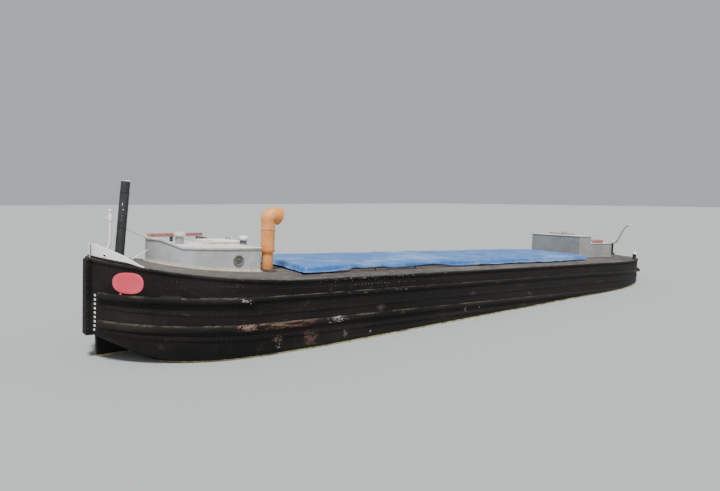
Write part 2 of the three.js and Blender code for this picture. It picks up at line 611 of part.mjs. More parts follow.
// Roof plate with a framed opening, and the lid that lies on the frame.
function hatchway(prefix, hatch, plate, z, finish) {
  const { fore, aft, half, frame, frameHeight, lid } = hatch;
  const frameTop = z + CASING.roof + frameHeight;
  const roof = span(plate.fore, plate.aft, -plate.half, plate.half, z, z + CASING.roof)
    .add(span(fore, aft, -half, half, z, frameTop))
    .subtract(span(fore + frame, aft - frame, -half + frame, half - frame, 1500, 3000));
  addSolid(`${prefix}_roof`, roof, 'cabinGrey');
  const seat = frameTop + GAP;
  addSolid(`${prefix}_hatch`, span(fore, aft + 15, -half - 15, half + 15, seat, seat + lid), finish);
}

function casing() {
  const { fore, aft, half, wall, top } = CASING;
  const walls = span(fore + GAP, aft, -half, half, 1600, top)
    .subtract(span(fore - 1, aft - wall, -half + wall, half - wall, 1500, top + 10));
  addSolid('engine_casing', seated(walls), 'cabinGrey');
  const box = span(COMPANION.fore, fore, -half, half, 1600, COMPANION.top)
    .subtract(span(COMPANION.fore + wall, fore - wall, -half + wall, half - wall, 1500, COMPANION.top + 10))
    .subtract(span(fore - wall - 1, fore + 1, -half + 120, half - 120, 1500, top - 80));
  addSolid('companion', seated(box), 'cabinGrey');
  const engineRoof = { fore: fore + GAP, aft: aft + 15, half: half + 15 };
  hatchway('engine', ENGINE_HATCH, engineRoof, top + GAP, 'hatchRed');
  hatchway('companion', COMPANION_HATCH, { fore: COMPANION.fore - 15, aft: fore, half: half + 15 },
    COMPANION.top + GAP, 'cabinGrey');
}

// Engine, shaft and propeller

const ENGINE = { fore: 14400, aft: 15500, half: 320, top: 1150 };
const PROPELLER = { aft: 17860, radius: 330, hub: 75, hubLength: 170,
  blades: 3, width: 200, thick: 22, pitch: 35 };

// A plain block whose underside follows the rising floor.
function engine() {
  const block = span(ENGINE.fore, ENGINE.aft, -ENGINE.half, ENGINE.half, 0, ENGINE.top);
  addSolid('engine', block.intersect(room(ROOMS.engineRoom).translate([0, 0, GAP])), 'engineGreen');
}

function propulsion() {
  const hubFore = PROPELLER.aft - PROPELLER.hubLength / 2;
  addSolid('propeller_shaft', lengthwise(SHAFT.radius, SHAFT.fore, hubFore - GAP,
    SHAFT.z), 'iron');
  const hub = new THREE.CylinderGeometry(PROPELLER.hub, PROPELLER.hub * 0.7, PROPELLER.hubLength, SIDES)
    .rotateZ(-Math.PI / 2);
  let body = solidOf(hub);
  for (let i = 0; i < PROPELLER.blades; i++) {
    const oval = new THREE.Shape().absellipse(0, PROPELLER.radius * 0.56, PROPELLER.width / 2,
      PROPELLER.radius * 0.44, 0, 2 * Math.PI);
    const options = { depth: PROPELLER.thick, bevelEnabled: false, curveSegments: 8 };
    const blade = new THREE.ExtrudeGeometry(oval, options)
      .translate(0, 0, -PROPELLER.thick / 2).rotateY(rad(90 - PROPELLER.pitch))
      .rotateX(rad(360 / PROPELLER.blades * i));
    body = body.add(solidOf(blade));
  }
  addSolid('propeller', body.translate([at(PROPELLER.aft), 0, SHAFT.z]), 'bronze');
}

// Rudder: blade and stock in one, its deck gland, and the tiller at its head

const TILLER = { radius: 32, headRadius: 52, headHeight: 80 };

// distance from the stock and height over the deck datum along the tiller's swan neck
const TILLER_LINE = [{ reach: 20, z: 2245 }, { reach: 340, z: 2262 }, { reach: 620, z: 2400 },
  { reach: 1150, z: 2765 }, { reach: 1420, z: 2880 }, { reach: 1760, z: 2935 }];

function steering() {
  const place = solid => solid.rotate([0, 0, RUDDER.helmAngle]).translate([at(RUDDER.stockAft), 0, 0]);
  const blade = boxSolid(-RUDDER.bladeAft, RUDDER.bladeFore, -RUDDER.bladeThick / 2, RUDDER.bladeThick / 2,
    RUDDER.bladeLow, RUDDER.bladeHigh);
  const stock = solidOf(upright(RUDDER.stockRadius, RUDDER.bladeLow, RUDDER.headZ));
  const pin = solidOf(upright(RUDDER.pinRadius, 30, RUDDER.bladeLow + 40));
  addSolid('rudder', place(blade.add(stock).add(pin)), 'iron');
  const foot = deckZ(RUDDER.stockAft);
  const gland = solidOf(new THREE.ExtrudeGeometry(tubeRing(95, RUDDER.stockRadius + 1.2),
    { depth: 120, bevelEnabled: false, curveSegments: 12 }).translate(at(RUDDER.stockAft), 0, foot - 60));
  addSolid('rudder_gland', seated(gland), 'iron');
  const line = new THREE.CatmullRomCurve3(TILLER_LINE.map(({ reach, z }) => new THREE.Vector3(reach, 0, z)));
  const bar = new THREE.ExtrudeGeometry(new THREE.Shape().absarc(0, 0, TILLER.radius, 0, 2 * Math.PI),
    { steps: 24, extrudePath: line, curveSegments: 5 });
  const head = upright(TILLER.headRadius, RUDDER.headZ + GAP, RUDDER.headZ + TILLER.headHeight);
  addSolid('tiller', place(solidOf(bar).add(solidOf(head))), 'white');
}

// Stern bollards

const BOLLARD = { aft: 17000, y: 1520,
  profile: [[0, -60], [58, -60], [58, 170], [78, 180], [78, 225], [60, 245], [0, 245]] };

function bollards() {
  for (const [word, side] of [['port', 1], ['starboard', -1]]) {
    const y = side * BOLLARD.y;
    const body = turned(BOLLARD.profile, 20).translate(at(BOLLARD.aft), y, deckZ(BOLLARD.aft, y));
    addSolid(`stern_bollard_${word}`, seated(solidOf(body)), 'postBlack');
  }
}

hullSections();
decks();
backbone();
strakes();
bowTrim();
foredeck();
foreCabin();
portholes();
vents();
ventPipe();
holdCover();
casing();
engine();
propulsion();
steering();
bollards();

export default group;
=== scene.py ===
"""River barge, dressed: smooth riveted plating, deck gear, tarpaulin and weathered finishes on its frame.

Metres, +X forward, +Y port, +Z up. "Aft" is a distance behind the stem's hull face, as in the barge's source.
"""

from __future__ import annotations

import logging
import math
from dataclasses import dataclass, replace
from enum import Enum
from typing import Callable, Iterable, Sequence, Union

import bpy
import bmesh
import numpy as np
from mathutils import Matrix, Vector


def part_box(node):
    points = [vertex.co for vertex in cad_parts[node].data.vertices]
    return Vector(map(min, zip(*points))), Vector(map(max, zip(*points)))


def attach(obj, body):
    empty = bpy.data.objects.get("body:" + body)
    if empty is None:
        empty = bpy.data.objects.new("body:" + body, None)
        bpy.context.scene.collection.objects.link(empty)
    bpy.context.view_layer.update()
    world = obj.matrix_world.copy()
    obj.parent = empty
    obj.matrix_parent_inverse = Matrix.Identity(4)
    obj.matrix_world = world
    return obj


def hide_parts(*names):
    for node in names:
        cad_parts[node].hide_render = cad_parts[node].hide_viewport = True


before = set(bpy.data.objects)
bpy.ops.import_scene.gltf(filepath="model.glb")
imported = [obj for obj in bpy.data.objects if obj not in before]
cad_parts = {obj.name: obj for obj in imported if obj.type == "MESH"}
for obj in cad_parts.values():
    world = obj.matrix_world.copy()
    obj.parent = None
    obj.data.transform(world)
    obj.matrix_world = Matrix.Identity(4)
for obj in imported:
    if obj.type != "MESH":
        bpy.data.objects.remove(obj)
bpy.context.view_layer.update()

LOG = logging.getLogger("river_barge")
PHOTO_WIDTH = 720
SENSOR_WIDTH = 36.0

Array = np.ndarray
Row = Sequence[float]
Colour = tuple[float, float, float]
Socket = bpy.types.NodeSocket
Material = bpy.types.Material
Piece = bpy.types.Object
Number = Union["Value", float]
STEM_OUT = 0.06
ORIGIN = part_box("stem_post")[1].x - STEM_OUT
UP = np.array([0, 0, 1.0])


class Side(Enum):
    """The two sides of the barge, as the sign of y."""

    PORT = 1
    STARBOARD = -1

    @property
    def word(self) -> str:
        """The side's name in plain words."""
        return self.name.lower()

    @property
    def out(self) -> Array:
        """The direction outboard, square to the middle line."""
        return np.array([0.0, self.value, 0.0])


class Body(str, Enum):
    """The moving bodies of the frame."""

    ROOT = "root"
    PROPULSION = "propulsion"
    STEERING = "steering"
    CABIN_LID = "cabin_lid"
    ENGINE_LID = "engine_lid"
    COMPANION_LID = "companion_lid"


def at(aft: Array | float) -> Array | float:
    """X of a distance aft."""
    return ORIGIN - aft


def spots(aft: Array | float, y: Array | float, z: Array | float) -> Array:
    """Points from distances aft, y and heights, with x, y and z on the last axis."""
    return np.stack(np.broadcast_arrays(at(aft), y, z), -1)


def smooth(value: Array) -> Array:
    """Smooth step from 0 to 1 as value goes from 0 to 1."""
    held = np.clip(value, 0, 1)
    return held * held * (3 - 2 * held)


def bent(value: Array, power: float) -> Array:
    """A value raised to a power with its sign kept, which squares off a sine or a cosine."""
    return np.sign(value) * np.abs(value) ** power


def unit(vectors: Array) -> Array:
    """Vectors of length one, along the last axis."""
    return vectors / np.maximum(np.linalg.norm(vectors, axis=-1, keepdims=True), 1e-12)


# Water plane: the barge floats trimmed by the stern, so the level water leans in the barge's own frame


@dataclass(frozen=True)
class Water:
    """The level water: its height above the barge's base at the stem, and its rise for each metre aft."""

    at_stem: float = 0.27
    trim: float = 0.04005

    def height(self, aft: Array | float) -> Array | float:
        """Height of the water at a distance aft."""
        return self.at_stem + self.trim * aft


WATER = Water()


# Lines of the hull


@dataclass(frozen=True)
class HullForm:
    """Lines of the barge: plan outline, sheer, camber, flat bottom with a rising forefoot and counter."""

    length: float = 18.6
    half_beam: float = 2.0
    depth: float = 1.75
    bow_length: float = 2.78
    bow_power: float = 1.93
    stern_length: float = 3.9
    stern_power: float = 2.0
    bottom_half_beam: float = 1.9
    bottom_bow_length: float = 5.6
    bottom_stern_length: float = 6.0
    bottom_power: float = 1.8
    bilge_height: float = 0.12
    full_side_height: float = 1.0
    camber: float = 0.1
    sheer_rise: float = 0.33
    sheer_length: float = 3.6
    forefoot_rise: float = 0.75
    forefoot_length: float = 1.9
    forefoot_power: float = 1.3
    counter_rise: float = 0.88
    counter_start: float = 3.8
    counter_end: float = 0.9

    def _outline(self, aft: Array, half: float, bow: float, bow_power: float, stern: float,
                 stern_power: float) -> Array:
        """Half breadth of an outline whose two ends are superellipses.

        Args:
            aft: distances aft.
            half: half breadth amidships.
            bow: length of the bow's curve.
            bow_power: its power.
            stern: length of the stern's curve.
            stern_power: its power.

        Returns:
            Half breadths.
        """
        fore = np.clip(1 - aft / bow, 0, 1)
        back = np.clip(1 - (self.length - aft) / stern, 0, 1)
        return half * (1 - fore**bow_power) ** (1 / bow_power) * (1 - back**stern_power) ** (1 / stern_power)

    def half(self, aft: Array) -> Array:
        """Half breadth at the deck edge."""
        return self._outline(np.asarray(aft, float), self.half_beam, self.bow_length, self.bow_power,
                             self.stern_length, self.stern_power)

    def bottom_half(self, aft: Array) -> Array:
        """Half breadth of the flat bottom."""
        inner = self._outline(np.asarray(aft, float), self.bottom_half_beam, self.bottom_bow_length,
                              self.bottom_power, self.bottom_stern_length, self.bottom_power)
        return np.clip(np.minimum(self.half(aft) - 0.008, inner), 0, None)

    def bottom_z(self, aft: Array) -> Array:
        """Height of the bottom: a power curve up to the stem, and a cosine under the counter.

        Args:
            aft: distances aft.

        Returns:
            Heights of the flat bottom.
        """
        fore = np.clip(1 - aft / self.forefoot_length, 0, 1)
        run = self.counter_start - self.counter_end
        back = np.clip((aft - (self.length - self.counter_start)) / run, 0, 1)
        return (self.forefoot_rise * fore**self.forefoot_power
                + self.counter_rise * (1 - np.cos(np.pi * back)) / 2)

    def edge_z(self, aft: Array) -> Array:
        """Height of the deck edge, which sheers up to the stem as a parabola."""
        return self.depth + self.sheer_rise * np.clip(1 - aft / self.sheer_length, 0, 1) ** 2

    def deck_z(self, aft: Array, y: Array) -> Array:
        """Height of the deck, crowned as a parabola across.

        Args:
            aft: distances aft.
            y: distances off the middle line.

        Returns:
            Heights of the deck.
        """
        half = np.maximum(self.half(aft), 1e-6)
        crown = self.camber * half / self.half_beam
        return self.edge_z(aft) + crown * (1 - np.minimum(1, (y / half) ** 2))

    def bilge_rise(self, aft: Array) -> Array:
        """Height of the quarter ellipse between bottom and side, high at the ends and low amidships.

        Args:
            aft: distances aft.

        Returns:
            Heights of the curve over the bottom.
        """
        fore = 1 - smooth((aft - 2.5) / 3.5)
        back = smooth((aft - (self.length - 6.5)) / 3.5)
        spare = self.full_side_height - self.bottom_z(aft) - self.bilge_height
        return self.bilge_height + spare * np.maximum(fore, back)

    def side_y(self, aft: Array, z: Array) -> Array:
        """Half breadth of the skin at a height: the side above the bilge, the quarter ellipse below it.

        Args:
            aft: distances aft.
            z: heights.

        Returns:
            Half breadths of the skin.
        """
        base, side = self.bottom_half(aft), self.half(aft)
        drop = np.clip(1 - (z - self.bottom_z(aft)) / self.bilge_rise(aft), 0, 1)
        return base + (side - base) * np.sqrt(1 - drop**2)

    def outward(self, aft: Array | float, side: Side) -> Array:
        """Outward plan normal of the deck outline: the tangent over a short step, turned by a right angle.

        Args:
            aft: distances aft.
            side: port or starboard.

        Returns:
            Directions of length one, with x, y and z on the last axis.
        """
        low, high = np.clip(aft - 0.002, 0, self.length), np.clip(aft + 0.002, 0, self.length)
        slope, run = self.half(high) - self.half(low), high - low
        size = np.hypot(slope, run)
        return np.stack([slope / size, side.value * (run / size), np.zeros_like(size)], -1)

    def on_deck(self, aft: Array | float, y: Array | float, lift: float = 0.0) -> Array:
        """Points on the deck, or lifted off it."""
        return spots(aft, y, self.deck_z(aft, y) + lift)

    def on_edge(self, aft: Array | float, side: Side, lift: Array | float = 0.0, inset: float = 0.0) -> Array:
        """Points along the deck edge.

        Args:
            aft: distances aft.
            side: port or starboard.
            lift: height over the edge.
            inset: distance inside the edge, along the plan normal.

        Returns:
            Points, with x, y and z on the last axis.
        """
        edge = spots(aft, side.value * self.half(aft), self.edge_z(aft) + lift)
        return edge - inset * self.outward(aft, side)

    def on_side(self, aft: Array, z: Array, out: Array | float, side: Side) -> Array:
        """Points on the skin at heights z, pushed out along the plan normal.

        Args:
            aft: distances aft.
            z: heights.
            out: distance outward from the skin.
            side: port or starboard.

        Returns:
            Points, with x, y and z on the last axis.
        """
        aft, z, out = np.broadcast_arrays(np.asarray(aft, float), z, out)
        return spots(aft, side.value * self.side_y(aft, z), z) + out[..., None] * self.outward(aft, side)

    def spaced(self, step: float, fore: float = 0.0, aft: float | None = None) -> Array:
        """Distances aft that are evenly spaced along the plan outline.

        Args:
            step: spacing along the outline.
            fore: first distance aft.
            aft: last distance aft, or None for the stern.

        Returns:
            Distances aft.
        """
        last = self.length if aft is None else aft
        turn = np.linspace(0, np.pi / 2, 400)
        fine = np.unique(np.concatenate([self.bow_length * (1 - np.cos(turn)),
                                         np.linspace(self.bow_length, self.length - self.stern_length, 900),
                                         self.length - self.stern_length * (1 - np.cos(turn))]))
        fine = np.concatenate([[fore], fine[(fine > fore) & (fine < last)], [last]])
        run = np.concatenate([[0], np.cumsum(np.hypot(np.diff(fine), np.diff(self.half(fine))))])
        count = max(2, int(round(run[-1] / step)) + 1)
        return np.interp(np.linspace(0, run[-1], count), run, fine)


FORM = HullForm()


# Shapes as grids of points


class Surface:
    """Grids of points that become one mesh."""

    def __init__(self, *shapes: Array) -> None:
        """Starts with these shapes, whose rings close on themselves.

        Args:
            shapes: the first shapes, each as grid takes it.
        """
        self.points: list[Array] = []
        self.faces: list[Array] = []
        self.plans: list[Array] = []
        self.count = 0
        self.rings(*shapes)

    def rings(self, *shapes: Array) -> "Surface":
        """Adds shapes whose rings close on themselves."""
        for shape in shapes:
            self.grid(shape, wrap=True)
        return self

    def slab(self, front: Array, back: Array) -> "Surface":
        """Adds a plate from the grids of its two faces, closed round its rim."""
        return self.grid(front).grid(back[::-1]).rings(np.stack([rim(front), rim(back)]))

    def grid(self, points: Array, wrap: bool = False, keep: Array | None = None,
             plan: Array | None = None) -> "Surface":
        """Adds one grid, or many alike.

        Args:
            points: points by row and column, with any number of copies in front.
            wrap: whether the last column joins the first.
            keep: cells to keep, by row and column.
            plan: flat u and v of each point, for a pattern that follows the surface.

        Returns:
            This surface, so that calls can follow each other.
        """
        points = np.asarray(points, float)
        rows, columns = points.shape[-3:-1]
        copies = points.reshape(-1, rows * columns, 3)
        index = np.arange(rows * columns).reshape(rows, columns)
        if wrap:
            index = np.concatenate([index, index[:, :1]], axis=1)
        quads = np.stack([index[:-1, :-1], index[:-1, 1:], index[1:, 1:], index[1:, :-1]], -1)
        quads = quads.reshape(-1, 4) if keep is None else quads[keep]
        starts = self.count + np.arange(len(copies))[:, None, None] * rows * columns
        self.faces.append((quads[None] + starts).reshape(-1, 4))
        self.points.append(copies.reshape(-1, 3))
        self.plans.append(np.zeros((copies.size // 3, 2)) if plan is None else plan.reshape(-1, 2))
        self.count += copies.size // 3
        return self

    def build(self, name: str, sharp: float = 40.0, level: bool = False, wall: float = 0.0) -> Piece:
        """Makes the object, with coincident points merged and faces turned outward.

        Args:
            name: the object's name.
            sharp: angle in degrees above which an edge stays sharp.
            level: whether it is an open sheet whose faces look up.
            wall: thickness that a sheet is given, inward if negative.

        Returns:
            The new object at the origin.
        """
        faces, plan = np.concatenate(self.faces), np.concatenate(self.plans)
        mesh = bpy.data.meshes.new(name)
        mesh.from_pydata(np.concatenate(self.points).tolist(), [], faces.tolist())
        if plan.any():
            layer = mesh.uv_layers.new(name="plan")
            layer.data.foreach_set("uv", plan[faces.ravel()].ravel())
        made = bmesh.new()
        made.from_mesh(mesh)
        bmesh.ops.remove_doubles(made, verts=made.verts, dist=2e-5)
        bmesh.ops.dissolve_degenerate(made, dist=1e-6, edges=made.edges)
        if not level:
            bmesh.ops.recalc_face_normals(made, faces=made.faces)
        made.to_mesh(mesh)
        made.free()
        if level and sum(face.normal.z for face in mesh.polygons) < 0:
            mesh.flip_normals()
        mesh.polygons.foreach_set("use_smooth", np.ones(len(mesh.polygons), bool))
        mesh.set_sharp_from_angle(angle=math.radians(sharp))
        obj = bpy.data.objects.new(name, mesh)
        bpy.context.scene.collection.objects.link(obj)
        if wall:
            skin = obj.modifiers.new("thickness", "SOLIDIFY")
            skin.thickness, skin.offset = abs(wall), math.copysign(1, wall)
        return obj


def sweep(path: Array, profile: Array, side: Array, up: Array = UP) -> Array:
    """A profile carried along a path: each point is the path's plus two lengths, along side and up.

    Args:
        path: points of the path.
        profile: pairs of lengths, one set for all rings or one for each.
        side: direction of the profile's first length at each point.
        up: direction of its second.

    Returns:
        Points by ring and by place in the profile.
    """
    profile = np.broadcast_to(profile, (len(path), *np.shape(profile)[-2:]))
    side, up = np.broadcast_to(side, path.shape), np.broadcast_to(up, path.shape)
    return path[:, None] + profile[..., :1] * side[:, None] + profile[..., 1:] * up[:, None]


def bar(path: Array, section: Array, side: Array, up: Array = UP) -> Array:
    """A section carried along a path, as sweep does it, with closed ends."""
    return capped(sweep(path, section, side, up))


def capped(rings: Array) -> Array:
    """Rings with a ring shrunk to its middle added at each end, which closes the ends."""
    first, last = (np.broadcast_to(ring.mean(0), ring.shape) for ring in (rings[0], rings[-1]))
    return np.concatenate([first[None], rings, last[None]])


def looped(rings: Array) -> Array:
    """Rings with the first one again after the last, which joins the ends."""
    return np.concatenate([rings, rings[:1]])


def rim(grid: Array) -> Array:
    """Points once round the outside of a grid."""
    return np.concatenate([grid[0], grid[1:, -1], grid[-1, -2::-1], grid[-2:0:-1, 0]])


def full_turn(sides: int) -> Array:
    """Angles evenly spaced once round."""
    return np.linspace(0, 2 * np.pi, sides, endpoint=False)


def circle(radius: Array | float, sides: int) -> Array:
    """Points on a circle, as pairs of lengths, for each radius given."""
    turn = full_turn(sides)
    return np.asarray(radius)[..., None, None] * np.stack([np.cos(turn), np.sin(turn)], -1)


def strap(half: float, tall: float) -> Array:
    """Section of a flat strap: its two feet and, a little narrower, its face."""
    return np.array([[-half, -0.002], [0.002 - half, tall], [half - 0.002, tall], [half, -0.002]])


def tube(path: Array, radius: Array | float, sides: int, across: Row = (0, 1, 0)) -> Array:
    """A closed round bar along a path: a circle square to the path's direction at each point.

    Args:
        path: points of the centre line.
        radius: radius, or one for each point.
        sides: points round the bar.
        across: a direction that is never along the path.

    Returns:
        Rings of points, with closed ends.
    """
    direction = unit(np.gradient(path, axis=0))
    side = unit(np.cross(direction, np.asarray(across, float)))
    sizes = np.broadcast_to(radius, len(path))
    return capped(sweep(path, circle(sizes, sides), side, np.cross(side, direction)))


def lathe(profile: Sequence[Row], foot: Row, sides: int = 40, axis: Row = (0, 0, 1)) -> Array:
    """A profile turned about an axis: each pair is a radius and a height over the foot.

    Args:
        profile: radius and height pairs, from the foot upward.
        foot: the point on the axis at height nought.
        sides: points round the axis.
        axis: direction of the axis.

    Returns:
        Rings of points, with closed ends.
    """
    pairs = np.asarray(profile, float)
    axis = unit(np.asarray(axis, float))
    side = unit(np.cross((0, 1, 0) if abs(axis[1]) < 0.9 else (1, 0, 0), axis))
    path = np.asarray(foot, float) + pairs[:, 1:] * axis
    return capped(sweep(path, circle(pairs[:, 0], sides), side, np.cross(axis, side)))


def block(centre: Row, half: Row, turn: Array | None = None, edge: float = 0.16, sides: int = 24) -> Array:
    """A block with rounded edges: a superellipsoid, whose sines and cosines are raised to a small power.

    Args:
        centre: the block's middle.
        half: half of its three sizes.
        turn: rotation matrix, or None.
        edge: roundness of the edges, from 0 for sharp to 1 for an ellipsoid.
        sides: points round it.

    Returns:
        Rings of points, with closed poles.
    """
    rise, around = np.linspace(-np.pi / 2, np.pi / 2, sides // 2 + 1)[:, None], full_turn(sides)[None]
    level = bent(np.cos(rise), edge)
    points = np.stack([level * bent(np.cos(around), edge), level * bent(np.sin(around), edge),
                       bent(np.sin(rise), edge) * np.ones_like(around)], -1) * np.asarray(half, float)
    points = points if turn is None else points @ np.asarray(turn).T
    return points + np.asarray(centre, float)


def turned(degrees: float, axis: str = "Z") -> Array:
    """Rotation matrix about one of the three axes."""
    return np.array(Matrix.Rotation(math.radians(degrees), 3, axis))


def heading(degrees: float) -> Array:
    """Level direction at an angle from straight ahead."""
    return np.array([math.cos(math.radians(degrees)), math.sin(math.radians(degrees)), 0])


def spline(points: Sequence[Row], count: int) -> Array:
    """A smooth path through a few points: cubics whose end slopes are half the way between neighbours.

    Args:
        points: the points passed through.
        count: points on the finished path.

    Returns:
        Points of the path.
    """
    knots = np.asarray(points, float)
    padded = np.concatenate([2 * knots[:1] - knots[1:2], knots, 2 * knots[-1:] - knots[-2:-1]])
    place = np.linspace(0, len(knots) - 1, count)
    start = np.minimum(place.astype(int), len(knots) - 2)
    t = (place - start)[:, None]
    a, b, c, d = (padded[start + k] for k in range(4))
    return 0.5 * (2 * b + (c - a) * t + (2 * a - 5 * b + 4 * c - d) * t**2 + (3 * b - a - 3 * c + d) * t**3)


def lifting_handle(reach: float, foot: Row) -> Array:
    """A round bar across a lid, whose two ends bend down and stand in it.

    Args:
        reach: distance from the handle's middle to each end.
        foot: the point on the lid below its middle.

    Returns:
        Rings of points, with closed ends.
    """
    near = reach - 0.005
    knots = [[0, -reach, -0.004], [0, -near, 0.03], [0, 0, 0.036], [0, near, 0.03], [0, reach, -0.004]]
    return tube(spline(knots, 22) + foot, 0.007, 12, (1, 0, 0))


def ridge(field: Array) -> Array:
    """A sharp ridge where a field from -1 to 1 crosses nought."""
    return (1 - np.abs(field)) ** 5


def ripples(u: Array, v: Array, length: float, seed: int, waves: int = 7) -> Array:
    """An uneven field from -1 to 1: the mean of sines with seeded directions, lengths and phases.

    Args:
        u: first coordinate.
        v: second coordinate.
        length: typical wavelength.
        seed: seed of the draw.
        waves: number of sines.

    Returns:
        The field at each place.
    """
    draw = np.random.default_rng(seed)
    angle = draw.uniform(0, np.pi, waves)
    pitch = length * draw.uniform(0.6, 1.7, waves)
    phase = draw.uniform(0, 2 * np.pi, waves)
    total = sum(np.sin((u * np.cos(a) + v * np.sin(a)) * 2 * np.pi / p + f)
                for a, p, f in zip(angle, pitch, phase))
    return total / waves * 1.6


def studs(centres: Array, out: Array, radius: float, height: float, sides: int = 6) -> Array:
    """Many low domes: a ring at the foot and a smaller one near the top, closed below and above.

    Args:
        centres: middle of each dome's foot.
        out: direction in which each stands.
        radius: radius at the foot.
        height: height of the dome.
        sides: points round each.

    Returns:
        Rings of points for every dome.
    """
    out = unit(np.broadcast_to(out, centres.shape))
    side = unit(np.cross(out, (0.0, 0.02, 1.0)))
    up = np.cross(out, side)
    rings = np.array([[0, -0.15], [1, -0.15], [0.72, 0.75], [0, 1]])
    ring = circle(rings[:, 0] * radius, sides)
    return (centres[:, None, None] + ring[None, ..., :1] * side[:, None, None]
            + ring[None, ..., 1:] * up[:, None, None]
            + (rings[:, 1] * height)[None, :, None, None] * out[:, None, None])


# Shader maths


def operation(name: str, value_last: bool = False) -> Callable[..., "Value"]:
    """Makes a method that joins a value and other terms with a Math node.

    Args:
        name: the node's operation.
        value_last: whether the value comes after the other terms.

    Returns:
        The method.
    """
    def method(self: "Value", *others: Number) -> "Value":
        """Adds the Math node and returns its result.

        Args:
            others: the other terms, in order.

        Returns:
            The node's result.
        """
        terms = (*others, self) if value_last else (self, *others)
        made = self.shader.node("ShaderNodeMath", {"operation": name}, dict(enumerate(terms)))
        return Value(self.shader, made.outputs[0])

    return method


class Value:
    """A number that varies over a surface, with the operators of arithmetic."""

    __add__ = __radd__ = operation("ADD")
    __sub__, __rsub__ = operation("SUBTRACT"), operation("SUBTRACT", value_last=True)
    __mul__ = __rmul__ = operation("MULTIPLY")
    __truediv__ = operation("DIVIDE")
    __abs__ = operation("ABSOLUTE")
    most = operation("MAXIMUM")
    sine = operation("SINE")
    rest = operation("FRACT")

    def __init__(self, shader: "Shader", socket: Socket) -> None:
        """Wraps an output socket of a shader."""
        self.shader, self.socket = shader, socket

    def step(self, low: float, high: float) -> "Value":
        """Smooth step from 0 at low to 1 at high, or the other way round."""
        made = self.shader.node("ShaderNodeMapRange", {"interpolation_type": "SMOOTHSTEP", "clamp": True},
                                {"Value": self, "From Min": min(low, high), "From Max": max(low, high),
                                 "To Min": float(low > high), "To Max": float(low <= high)})
        return Value(self.shader, made.outputs[0])

    def band(self, low: float, high: float, soft: float) -> "Value":
        """1 between low and high, fading to 0 over a distance outside."""
        return self.step(low - soft, low) * self.step(high + soft, high)


